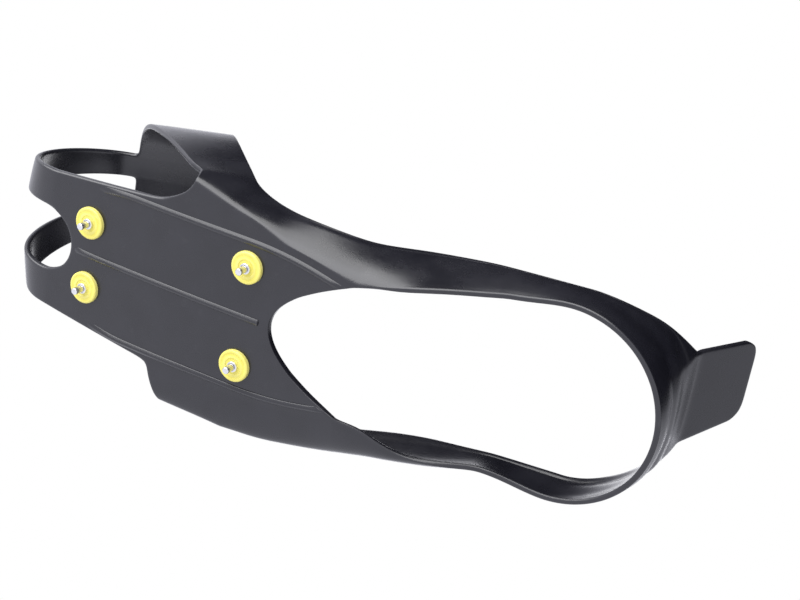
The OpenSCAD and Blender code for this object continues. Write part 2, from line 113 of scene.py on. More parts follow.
class Rib(Enum):
    """Ribs under the plate."""

    MIDDLE = "middle"
    EDGE = "edge"


class StudRow(Enum):
    """Rows of studs under the plate."""

    FRONT = "front"
    REAR = "rear"


# Curves and courses


def lerp(a: float, b: float, t: float) -> float:
    """Returns the value at the share t of the way from a to b."""
    return a + (b - a) * t


def clamp(t: float) -> float:
    """Returns t held between 0 and 1."""
    return max(0.0, min(1.0, t))


def smooth(t: float) -> float:
    """Returns a soft step from 0 to 1."""
    s = clamp(t)
    return s * s * (3.0 - 2.0 * s)


def slope_at(course: Course, k: int) -> float:
    """Gives the slope of a course at one of its rows.

    Args:
        course: Rows of place and value, rising in place.
        k: Number of the row.

    Returns:
        The slope there.
    """
    low = course[max(k - 1, 0)]
    high = course[min(k + 1, len(course) - 1)]
    return (high[1] - low[1]) / (high[0] - low[0])


def along(course: Course, x: float) -> float:
    """Reads a smooth value from the rows of a course.

    Args:
        course: Rows of place and value, rising in place.
        x: Place to read at, held inside the course.

    Returns:
        The value there.
    """
    x = max(course[0][0], min(course[-1][0], x))
    k = max(i for i in range(len(course) - 1) if course[i][0] <= x)
    (x0, y0), (x1, y1) = course[k], course[k + 1]
    span = x1 - x0
    t = (x - x0) / span
    s = 1.0 - t
    bend = slope_at(course, k) * span * t * s * s + slope_at(course, k + 1) * span * t * t * (t - 1.0)
    return y0 * (1.0 + 2.0 * t) * s * s + y1 * t * t * (3.0 - 2.0 * t) + bend


def corner_curve(a: Vector, c: Vector, b: Vector, pull: float, t: float) -> Vector:
    """Gives a point on a curve that is pulled towards a corner.

    Args:
        a: Start of the curve.
        c: The corner.
        b: End of the curve.
        pull: How tightly the curve bends round the corner.
        t: Share of the way, from 0 to 1.

    Returns:
        The point.
    """
    p = (1.0 - t) * (1.0 - t)
    q = 2.0 * pull * t * (1.0 - t)
    r = t * t
    return (a * p + c * q + b * r) / (p + q + r)


def cubic(a: Vector, b: Vector, c: Vector, d: Vector, t: float) -> Vector:
    """Returns the point at t on the cubic curve with these four control points."""
    s = 1.0 - t
    return a * s**3 + b * (3.0 * s * s * t) + c * (3.0 * s * t * t) + d * t**3


def solve(test: Callable[[float], float], low: float, high: float, halvings: int = 60) -> float:
    """Finds where a rising test function passes zero.

    Args:
        test: Function that is below zero at low and above zero at high.
        low: Lower bound.
        high: Upper bound.
        halvings: Number of times that the span is halved.

    Returns:
        The place of the zero.
    """
    for _ in range(halvings):
        middle = (low + high) / 2.0
        if test(middle) < 0.0:
            low = middle
        else:
            high = middle
    return (low + high) / 2.0


def push_out(grid: Grid, heights: Callable[[int, int], float]) -> Grid:
    """Moves the points of a grid along its normals.

    Args:
        grid: Rows of points.
        heights: Distance for each row and column.

    Returns:
        The moved grid.
    """
    last_row = len(grid) - 1
    last_column = len(grid[0]) - 1
    moved = []
    for i, row in enumerate(grid):
        line = []
        for j, point in enumerate(row):
            down = grid[min(i + 1, last_row)][j] - grid[max(i - 1, 0)][j]
            across = row[min(j + 1, last_column)] - row[max(j - 1, 0)]
            line.append(point + across.cross(down).normalized() * heights(i, j))
        moved.append(line)
    return moved


# Workbench


def take_up(*pieces: bpy.types.Object) -> None:
    """Selects some pieces and nothing else.

    Args:
        pieces: The pieces, of which the first becomes the active one.
    """
    bpy.ops.object.select_all(action="DESELECT")
    for piece in pieces:
        piece.select_set(True)
    bpy.context.view_layer.objects.active = pieces[0]


def apply_modifier(piece: bpy.types.Object, kind: str, **settings: object) -> None:
    """Adds a modifier to a piece and applies it.

    Args:
        piece: Piece to change.
        kind: Blender's type of modifier.
        settings: Values of the modifier.
    """
    modifier = piece.modifiers.new(kind.lower(), kind)
    for key, value in settings.items():
        setattr(modifier, key, value)
    take_up(piece)
    bpy.ops.object.modifier_apply(modifier=modifier.name)


def add_sheet(
    name: str,
    side: Side,
    grid: Grid,
    walls: Callable[[int, int], float],
    on_tab: Callable[[int, int], bool] = lambda i, j: False,
) -> bpy.types.Object:
    """Adds a grid sheet and puts its points in place.

    Args:
        name: Name of the sheet.
        side: Side of the harness that the sheet is for.
        grid: Rows of points in millimetres, as for the left side.
        walls: Share of the full wall thickness at each row and column.
        on_tab: Tells whether a point belongs to the pull tab's piece or to its boundary.

    Returns:
        The sheet, with its wall shares and its tab points in vertex groups.
    """
    bpy.ops.object.select_all(action="DESELECT")
    columns = len(grid[0])
    bpy.ops.mesh.primitive_grid_add(x_subdivisions=columns - 1, y_subdivisions=len(grid) - 1, size=1.0)
    sheet = bpy.context.object
    sheet.name = name
    wall_group = sheet.vertex_groups.new(name="wall")
    tab_group = sheet.vertex_groups.new(name="tab")
    for vertex in sheet.data.vertices:
        i, j = divmod(vertex.index, columns)
        point = grid[i][j] * MM
        vertex.co = (point.x, side.value * point.y, point.z)
        wall_group.add([vertex.index], walls(i, j), "REPLACE")
        tab_group.add([vertex.index], float(on_tab(i, j)), "REPLACE")
    return sheet


def join_sheets(name: str, sheets: Sequence[bpy.types.Object], gap: float) -> bpy.types.Object:
    """Joins sheets into one piece and welds the points that meet.

    Args:
        name: Name of the piece.
        sheets: Sheets to join.
        gap: Largest distance that is welded, in millimetres.

    Returns:
        The piece.
    """
    take_up(*sheets)
    bpy.ops.object.join()
    piece = bpy.context.object
    piece.name = name
    piece.data.name = name
    bpy.ops.object.mode_set(mode="EDIT")
    bpy.ops.mesh.select_all(action="SELECT")
    bpy.ops.mesh.remove_doubles(threshold=gap * MM)
    bpy.ops.object.mode_set(mode="OBJECT")
    return piece


def put_in_scene(name: str, data: bpy.types.ID) -> bpy.types.Object:
    """Makes an object of a mesh, a lamp or a camera and links it to the scene.

    Args:
        name: Name of the object.
        data: What the object holds.

    Returns:
        The object.
    """
    item = bpy.data.objects.new(name, data)
    bpy.context.scene.collection.objects.link(item)
    return item


def select_in_edit(
    piece: bpy.types.Object, faces: Optional[FaceTest] = None, edges: Optional[EdgeTest] = None
) -> None:
    """Selects faces or edges of a piece.

    Args:
        piece: Piece in edit mode.
        faces: Test that chooses faces.
        edges: Test that chooses edges, where none is given for faces.
    """
    bpy.ops.mesh.select_all(action="DESELECT")
    bpy.ops.mesh.select_mode(type="FACE" if faces else "EDGE")
    mesh = bmesh.from_edit_mesh(piece.data)
    for part in mesh.faces if faces else mesh.edges:
        part.select_set((faces or edges)(part))
    mesh.select_flush_mode()
    bmesh.update_edit_mesh(piece.data)


# Finishes


class NodeBench:
    """Lays nodes into a tree and wires them."""

    def __init__(self, tree: bpy.types.NodeTree) -> None:
        """Takes the tree to work on."""
        self.tree = tree

    def add(
        self, kind: str, values: Optional[dict[Socket, object]] = None, **settings: object
    ) -> bpy.types.Node:
        """Adds a node.

        Args:
            kind: Blender's type of node.
            values: Input values by socket name or number.
            settings: Settings of the node itself.

        Returns:
            The node.
        """
        node = self.tree.nodes.new(kind)
        for key, value in settings.items():
            setattr(node, key, value)
        for key, value in (values or {}).items():
            node.inputs[key].default_value = value
        return node

    def wire(self, source: bpy.types.Node, out: Socket, target: bpy.types.Node, into: Socket) -> None:
        """Joins an output of one node to an input of another."""
        self.tree.links.new(source.outputs[out], target.inputs[into])

    def blend(self, low: Colour, high: Colour, mask: bpy.types.Node, out: Socket) -> bpy.types.Node:
        """Adds a node that mixes two colours by a mask.

        Args:
            low: Colour where the mask is 0.
            high: Colour where the mask is 1.
            mask: Node that gives the mask.
            out: Output of that node.

        Returns:
            The mixing node, whose output number 2 is the colour.
        """
        node = self.add("ShaderNodeMix", {6: low, 7: high}, data_type="RGBA")
        self.wire(mask, out, node, 0)
        return node

    def map_range(
        self, source: bpy.types.Node, out: Socket, given: Span, wanted: Span = (0.0, 1.0)
    ) -> bpy.types.Node:
        """Adds a node that maps one range onto another.

        Args:
            source: Node that gives the value.
            out: Output of that node.
            given: Range of the value.
            wanted: Range of the result.

        Returns:
            The node, whose output is Result.
        """
        ends = {"From Min": given[0], "From Max": given[1], "To Min": wanted[0], "To Max": wanted[1]}
        node = self.add("ShaderNodeMapRange", ends)
        self.wire(source, out, node, "Value")
        return node

    def math(
        self, operation: str, *feeds: tuple[bpy.types.Node, Socket], use_clamp: bool = False
    ) -> bpy.types.Node:
        """Adds a node that reckons with values.

        Args:
            operation: What it does with them.
            feeds: Nodes that give the values, each with its output.
            use_clamp: Whether the result is held between 0 and 1.

        Returns:
            The node, whose output is Value.
        """
        node = self.add("ShaderNodeMath", operation=operation, use_clamp=use_clamp)
        for n, (source, out) in enumerate(feeds):
            self.wire(source, out, node, n)
        return node

    def either(
        self,
        mask: bpy.types.Node,
        out: Socket,
        first: bpy.types.Node,
        second: bpy.types.Node,
        end: bpy.types.Node,
    ) -> None:
        """Shows one of two shaders by a mask.

        Args:
            mask: Node that gives the mask.
            out: Output of that node.
            first: Shader where the mask is 0.
            second: Shader where the mask is 1.
            end: Output node of the material or the world.
        """
        mix = self.add("ShaderNodeMixShader")
        self.wire(mask, out, mix, 0)
        self.wire(first, 0, mix, 1)
        self.wire(second, 0, mix, 2)
        self.wire(mix, 0, end, "Surface")


Group = tuple[NodeBench, bpy.types.Node, bpy.types.Node]


def new_group(name: str, inputs: dict[str, float], outputs: Sequence[str]) -> Group:
    """Starts a shader node group of plain values.

    Args:
        name: Name of the group.
        inputs: Names of the inputs with their usual values.
        outputs: Names of the outputs.

    Returns:
        The bench, the group's input node and its output node.
    """
    tree = bpy.data.node_groups.new(name, "ShaderNodeTree")
    for key, value in inputs.items():
        socket = tree.interface.new_socket(key, in_out="INPUT", socket_type="NodeSocketFloat")
        socket.default_value = value
    for key in outputs:
        tree.interface.new_socket(key, in_out="OUTPUT", socket_type="NodeSocketFloat")
    bench = NodeBench(tree)
    return bench, bench.add("NodeGroupInput"), bench.add("NodeGroupOutput")


def grain_group() -> bpy.types.NodeTree:
    """Makes the moulded grain: fine pits for the bump, and a slow mottle for colour and roughness.

    Returns:
        The node group.
    """
    scales = {"Fine": 1500.0, "Slow": 60.0}
    bench, given, gives = new_group("moulded_grain", scales, ("Height", "Mottle"))
    place = bench.add("ShaderNodeTexCoord")
    fine = bench.add("ShaderNodeTexNoise", {"Detail": 3.0, "Roughness": 0.6})
    slow = bench.add("ShaderNodeTexNoise", {"Detail": 4.0, "Roughness": 0.55})
    for noise, scale in ((fine, "Fine"), (slow, "Slow")):
        bench.wire(place, "Object", noise, "Vector")
        bench.wire(given, scale, noise, "Scale")
    spread = bench.map_range(slow, "Fac", (0.32, 0.68))
    bench.wire(fine, "Fac", gives, "Height")
    bench.wire(spread, "Result", gives, "Mottle")
    return bench.tree


def wear_group() -> bpy.types.NodeTree:
    """Makes the wear mask: rubbed edges, broken up by noise, with a few scuffs.

    Returns:
        The node group.
    """
    shares = {"Edge": 1.0, "Scuff": 0.4, "Scale": 220.0}
    bench, given, gives = new_group("rubbed_edges", shares, ("Mask",))
    place = bench.add("ShaderNodeTexCoord")
    shape = bench.add("ShaderNodeNewGeometry")
    broken = bench.add("ShaderNodeTexNoise", {"Detail": 5.0, "Roughness": 0.65})
    bench.wire(place, "Object", broken, "Vector")
    bench.wire(given, "Scale", broken, "Scale")
    edge = bench.map_range(shape, "Pointiness", (0.505, 0.56))
    rubbed = bench.math("MULTIPLY", (edge, "Result"), (given, "Edge"))
    edges = bench.math("MULTIPLY", (rubbed, "Value"), (broken, "Fac"))
    spots = bench.map_range(broken, "Fac", (0.6, 0.75))
    scuffs = bench.math("MULTIPLY", (spots, "Result"), (given, "Scuff"))
    total = bench.math("ADD", (edges, "Value"), (scuffs, "Value"), use_clamp=True)
    bench.wire(total, "Value", gives, "Mask")
    return bench.tree


@dataclass(frozen=True)
class Finish:
    """A finish made of grain and wear over one shader.

    The body colour goes from dark to pale with the mottle, and towards the worn colour with the wear.
    """

    name: str
    dark: Colour
    pale: Colour
    worn: Colour
    smooth_rough: float
    coarse_rough: float
    shader: dict[str, float]
    fine: float = 1500.0
    slow: float = 60.0
    edge: float = 1.0
    scuff: float = 0.3
    wear_scale: float = 220.0
    bump: float = 0.1
    bump_depth: float = 0.2
    turned: float = 0.0

    def material(self, grain: bpy.types.NodeTree, wear: bpy.types.NodeTree) -> bpy.types.Material:
        """Makes the material.

        Args:
            grain: Group of the moulded grain.
            wear: Group of the wear mask.

        Returns:
            The material.
        """
        material = bpy.data.materials.new(self.name)
        material.use_nodes = True
        bench = NodeBench(material.node_tree)
        shader = material.node_tree.nodes["Principled BSDF"]
        for key, value in self.shader.items():
            shader.inputs[key].default_value = value
        grained = bench.add("ShaderNodeGroup", {"Fine": self.fine, "Slow": self.slow}, node_tree=grain)
        rubbing = {"Edge": self.edge, "Scuff": self.scuff, "Scale": self.wear_scale}
        worn = bench.add("ShaderNodeGroup", rubbing, node_tree=wear)
        body = bench.blend(self.dark, self.pale, grained, "Mottle")
        colour = bench.blend(self.dark, self.worn, worn, "Mask")
        bench.wire(body, 2, colour, 6)
        bench.wire(colour, 2, shader, "Base Color")
        rough = bench.map_range(grained, "Mottle", (0.0, 1.0), (self.smooth_rough, self.coarse_rough))
        bench.wire(rough, "Result", shader, "Roughness")
        bump = self.add_bump(bench, grained, "Height")
        if self.turned:
            self.add_turning(bench, bump)
        bench.wire(bump, "Normal", shader, "Normal")
        return material

    def add_bump(self, bench: NodeBench, source: bpy.types.Node, out: Socket) -> bpy.types.Node:
        """Adds a bump of the finish's strength and depth.

        Args:
            bench: Bench of the material.
            source: Node that gives the height.
            out: Output of that node.

        Returns:
            The bump node.
        """
        bump = bench.add("ShaderNodeBump", {"Strength": self.bump, "Distance": self.bump_depth * MM})
        bench.wire(source, out, bump, "Height")
        return bump

    def add_turning(self, bench: NodeBench, bump: bpy.types.Node) -> None:
        """Adds fine lathe lines across the stud's length under the bump.

        Args:
            bench: Bench of the material.
            bump: Bump node of the grain.
        """
        place = bench.add("ShaderNodeTexCoord")
        ripple = {"Scale": self.turned, "Distortion": 1.5}
        lines = bench.add("ShaderNodeTexWave", ripple, bands_direction="Z")
        bench.wire(place, "Object", lines, "Vector")
        cut = self.add_bump(bench, lines, "Fac")
        bench.wire(cut, "Normal", bump, "Normal")


RUBBER = Finish(
    name="satin_black_rubber",
    dark=(0.007, 0.007, 0.010, 1.0),
    pale=(0.010, 0.010, 0.014, 1.0),
    worn=(0.026, 0.026, 0.030, 1.0),
    smooth_rough=0.24,
    coarse_rough=0.31,
    shader={"Specular IOR Level": 0.65},
    bump=0.28,
    bump_depth=0.12,
)
YELLOW = Finish(
    name="yellow_disc_plastic",
    dark=(0.69, 0.61, 0.09, 1.0),
    pale=(0.75, 0.67, 0.125, 1.0),
    worn=(0.79, 0.74, 0.31, 1.0),
    smooth_rough=0.30,
    coarse_rough=0.40,
    shader={"Specular IOR Level": 0.5, "Coat Weight": 0.15, "Coat Roughness": 0.25},
    fine=2600.0,
    slow=240.0,
    scuff=0.25,
    wear_scale=700.0,
    bump=0.1,
    bump_depth=0.06,
)
STEEL = Finish(
    name="bright_turned_steel",
    dark=(0.62, 0.62, 0.64, 1.0),
    pale=(0.80, 0.80, 0.81, 1.0),
    worn=(0.92, 0.92, 0.92, 1.0),
    smooth_rough=0.16,
    coarse_rough=0.28,
    shader={"Metallic": 1.0},
    fine=3200.0,
    slow=400.0,
    scuff=0.35,
    wear_scale=900.0,
    bump=0.12,
    bump_depth=0.04,
    turned=900.0,
)


# Rubber harness


@dataclass
class SolePlate:
    """Plate under the forefoot, with its ribs.

    Lengths are in millimetres. Lanes, columns, runs and offsets are shares of a width or a length.
    """

    thickness: float = 3.5
    edge_wall: float = 2.6
    half: float = 40.0
    front_half: float = 33.5
    front_x: float = 108.0
    rail_x: float = 47.0
    strap_x: float = 5.0
    flat_x: float = 8.0
    spring_r: float = 1265.0
    notch_r: float = 16.0
    notch_x: float = 95.0
    opening_x: float = 13.5
    opening_r: float = 13.0
    opening_half: float = 31.5
    edge_blend: float = 9.0
    rib_half: float = 1.8
    rib_h: float = 1.1
    rib_inset: float = 4.5
    rib_wall: float = 1.9
    rib_rear_x: float = -8.7
    rib_rim_gap: float = 0.4
    rib_front_x: float = 94.0
    rib_side_front_x: float = 86.0
    rib_edge_gap: float = 0.8
    rib_fade: float = 6.0
    rib_side_fade: float = 16.0
    rib_tail: float = 5.0
    rib_tail_sink: float = 0.6
    rib_foot: float = 0.05
    rib_crown: float = 1.3
    rib_sunk: float = -0.3
    rib_rows: int = 18
    rib_rear_run: tuple[float, ...] = (0.0, 0.006, 0.016, 0.03)
    rib_front_run: tuple[float, ...] = (0.975, 0.99, 1.0)
    rib_offsets: tuple[float, ...] = (0.0, 0.3, 0.72, 1.0)
    middle_lanes: tuple[float, ...] = (0.0, 0.25, 0.5, 0.75)
    arm_columns: tuple[float, ...] = (0.0, 0.07, 0.36, 0.64, 0.93, 1.0)
    front_run: tuple[float, ...] = (0.0, 0.035, 0.14, 0.28, 0.42, 0.56, 0.7, 0.85, 1.0)
    strap_run: tuple[float, ...] = (0.0, 0.04, 0.17, 0.33, 0.5, 0.67, 0.83, 0.96, 1.0)
    waist_run: tuple[float, ...] = (0.0, 0.12, 0.25, 0.38, 0.51, 0.64, 0.77, 0.89, 0.965, 1.0)

    @property
    def tail_x(self) -> float:
        """Place of the tails' ends on the opening's edge."""
        return self.opening_edge(self.opening_half)

    @property
    def notch_mouth(self) -> float:
        """Half width of the notch at the plate's front end."""
        drop = self.notch_x + self.notch_r - self.front_x
        return math.sqrt(self.notch_r**2 - drop**2)

    @property
    def tail_row(self) -> int:
        """Row of a side wall that lies at the tail."""
        return len(self.strap_run) + len(self.waist_run) - 2

    def lift(self, x: float) -> float:
        """Returns the rise of the seat face at x."""
        return max(0.0, x - self.flat_x) ** 2 / (2.0 * self.spring_r)

    def opening_edge(self, y: float) -> float:
        """Returns the place of the opening's edge at y."""
        return -self.opening_x - y * y / (2.0 * self.opening_r)

    def edge(self, x: float) -> float:
        """Gives the plate's half width.

        Args:
            x: Place along the plate.

        Returns:
            The half width there.
        """
        if x > self.rail_x:
            return lerp(self.half, self.front_half, (x - self.rail_x) / (self.front_x - self.rail_x))
        return self.half - (self.half - self.opening_half) * clamp(x / self.tail_x) ** 2

    def wall(self, x: float, y: float) -> float:
        """Returns the plate's thickness at a place: thinner along the rails."""
        thin = lerp(self.edge_wall, self.thickness, smooth(x / self.rail_x))
        return lerp(self.thickness, thin, smooth(1.0 - (self.edge(x) - y) / self.edge_blend))

    def outer(self, x: float, y: float) -> Vector:
        """Returns the point of the outer face at a place."""
        return Vector((x, y, self.lift(x) - self.wall(x, y)))

    def lanes(self) -> list[float]:
        """Returns the lanes along the plate, as shares of its half width."""
        mouth = self.notch_mouth / self.front_half
        return [mouth * m for m in self.middle_lanes] + [lerp(mouth, 1.0, u) for u in self.arm_columns]

    def front_end(self, lane: float) -> float:
        """Finds where a lane ends at the front: at the notch or at the plate's front edge.

        Args:
            lane: The lane, as a share of the half width.

        Returns:
            The place of its end.
        """
        def in_notch(x: float) -> float:
            """Returns how deep the lane is in the notch at x."""
            return self.notch_r - math.hypot(self.notch_x + self.notch_r - x, lane * self.edge(x))

        if lane * self.front_half >= self.notch_mouth - TINY:
            return self.front_x
        return solve(in_notch, self.rail_x, self.front_x)

    def rear_end(self, lane: float) -> float:
        """Returns where a lane ends at the opening."""
        return solve(lambda x: x - self.opening_edge(lane * self.edge(x)), self.tail_x - 1.0, 0.0)

    def lane_places(self, lane: float) -> list[float]:
        """Lists the places of the points along a lane.

        Args:
            lane: The lane, as a share of the half width.

        Returns:
            The places, from front to rear.
        """
        front = self.front_end(lane)
        rear = self.rear_end(lane)
        places = [lerp(front, self.rail_x, f) for f in self.front_run]
        places += [lerp(self.rail_x, self.strap_x, f) for f in self.strap_run[1:]]
        return places + [lerp(self.strap_x, rear, f) for f in self.waist_run[1:]]

    def plate_sheet(self, side: Side) -> bpy.types.Object:
        """Builds one half of the plate's outer face.

        Args:
            side: Side of the harness.

        Returns:
            The sheet.
        """
        grid = [
            [self.outer(x, lane * self.edge(x)) for x in self.lane_places(lane)] for lane in self.lanes()
        ]
        shares = [[self.wall(point.x, point.y) / self.thickness for point in row] for row in grid]
        return add_sheet("plate", side, grid, lambda i, j: shares[i][j])

    def rib_rear(self, offset: float) -> float:
        """Returns where a line of the edge rib ends, just short of the opening."""
        inset = self.rib_inset - self.rib_half * offset
        return self.rear_end(1.0 - inset / self.opening_half) + self.rib_rim_gap

    def rib_sheet(self, side: Side, rib: Rib) -> bpy.types.Object:
        """Builds the face of a rib, which stands on the plate and sinks into it at its front end.

        Args:
            side: Side of the harness.
            rib: The rib beside the edge, or this side's half of the middle rib.

        Returns:
            The sheet.
        """
        if rib is Rib.EDGE:
            offsets = [-offset for offset in reversed(self.rib_offsets[1:])] + list(self.rib_offsets)
            rears = [self.rib_rear(offset) for offset in offsets]
            front = self.rib_side_front_x
            fade = self.rib_side_fade
        else:
            offsets = list(self.rib_offsets)
            rears = [self.rib_rear_x] * len(offsets)
            front = self.rib_front_x
            fade = self.rib_fade
        steps = [k / self.rib_rows for k in range(1, self.rib_rows)]
        grid = []
        for share in (*self.rib_rear_run, *steps, *self.rib_front_run):
            row = []
            for offset, rear in zip(offsets, rears):
                x = lerp(rear, front, share)
                middle = 0.0
                sunk = smooth((x - front + fade) / fade)
                if rib is Rib.EDGE:
                    inside = self.edge(x) - self.rib_half - self.rib_edge_gap
                    middle = min(self.edge(min(x, self.rail_x)) - self.rib_inset, inside)
                    sunk += self.rib_tail_sink * (1.0 - smooth((x - rear) / self.rib_tail))
                point = self.outer(x, middle + self.rib_half * offset)
                raised = lerp(1.0, self.rib_foot, abs(offset) ** self.rib_crown)
                point.z -= self.rib_h * lerp(raised, self.rib_sunk, sunk)
                row.append(point)
            grid.append(row)
        return add_sheet("rib", side, grid, lambda i, j: self.rib_wall / self.thickness)


@dataclass(frozen=True)
class RailCourse:
    """Run of one rail from the toe strap to the heel band: rows of station and share.

    The front is the window's edge over the rail's section. The pull tells how tightly the section bends.
    """

    half: Course
    height: Course
    bulge: Course
    corner: Course
    opening: Course
    rise: Course
    pull: Course
    front: Course
    strap_rear_x: float


# The arch side is the left one, and the outer side the right one
ARCH_RAIL = RailCourse(
    half=(
        (-0.6, 0.29), (-0.47, 0.34), (-0.2, 0.65), (-0.08, 0.81), (0.035, 0.91), (0.17, 0.96),
        (0.33, 0.965), (0.54, 0.975), (0.69, 1.08), (0.86, 1.22), (1, 1.285), (1.24, 1.28), (1.48, 1.21),
        (1.75, 1.08), (2, 1),
    ),
    height=(
        (-0.6, 0), (-0.47, 0.17), (-0.215, 0.54), (-0.2, 0.555), (-0.185, 0.545), (-0.08, 0.486),
        (0.035, 0.445), (0.17, 0.389), (0.33, 0.331), (0.54, 0.305), (0.69, 0.372), (0.86, 0.497),
        (1, 0.645), (1.24, 0.85), (1.48, 0.95), (1.75, 0.99), (2, 1),
    ),
    bulge=(
        (-0.6, 0.2), (0.1, 0.03), (0.2, -0.6), (0.33, -1.35), (0.54, -1.7), (0.69, -1.5), (0.86, -1.1),
        (1, -0.5), (1.15, -0.4), (1.3, -0.75), (1.45, -0.82), (1.6, -0.68), (1.8, -0.5), (2, -0.38),
    ),
    corner=(
        (-0.6, 0), (0.2, 0), (0.32, 0.03), (0.6, 0.07), (1, 0.07), (1.15, 0.14), (1.3, 0.42), (1.45, 0.69),
        (1.6, 0.8), (1.8, 0.9), (2, 1),
    ),
    opening=((1, 0), (1.23, 0.33), (1.4, 0.55), (1.57, 0.72), (1.73, 0.83), (1.87, 0.91), (2, 1)),
    rise=((1, 0), (1.23, 0.14), (1.4, 0.3), (1.57, 0.48), (1.73, 0.67), (1.87, 0.84), (2, 1)),
    pull=((-0.6, 4.5), (0, 4.5), (0.15, 3.5), (0.3, 1.8), (0.45, 1.1), (0.6, 1), (2, 1)),
    front=(
        (0, 47), (0.06, 37), (0.14, 34), (0.25, 32.6), (0.6, 32.2), (0.77, 32.6), (0.9, 33.6), (1, 35.5),
    ),
    strap_rear_x=16.5,
)
OUTER_RAIL = RailCourse(
    half=(
        (-0.6, 0.0775), (-0.01, 0), (0, 0), (0.16, 0.06), (0.32, 0.16), (0.49, 0.29), (0.65, 0.39),
        (0.83, 0.47), (1, 0.53), (1.24, 0.65), (1.48, 0.75), (1.75, 0.86), (2, 1),
    ),
    height=(
        (-0.6, 0), (-0.01, 0), (0, 0), (0.16, 0.15), (0.32, 0.28), (0.49, 0.39), (0.65, 0.49), (0.83, 0.59),
        (1, 0.7), (1.24, 0.85), (1.48, 0.95), (1.75, 0.99), (2, 1),
    ),
    bulge=((-0.6, 0), (0, 0), (0.4, 1), (1, 1), (1.3, 0.6), (1.6, 0.15), (2, 0)),
    corner=((-0.6, 0), (0.6, 0), (1, 0.06), (1.24, 0.12), (1.45, 0.24), (1.72, 0.56), (2, 1)),
    opening=((1, 0), (1.18, 0.19), (1.3, 0.49), (1.45, 0.8), (1.62, 0.98), (1.8, 1.02), (2, 1)),
    rise=((1, 0), (1.18, 0.17), (1.3, 0.25), (1.45, 0.36), (1.62, 0.49), (1.8, 0.7), (2, 1)),
    pull=((-0.6, 3), (0, 3), (0.5, 2.69), (1, 2), (1.5, 1.31), (2, 1)),
    front=((0, 47), (0.1, 44.8), (0.25, 42.4), (0.5, 40), (0.75, 39.1), (1, 39)),
    strap_rear_x=5.0,
)


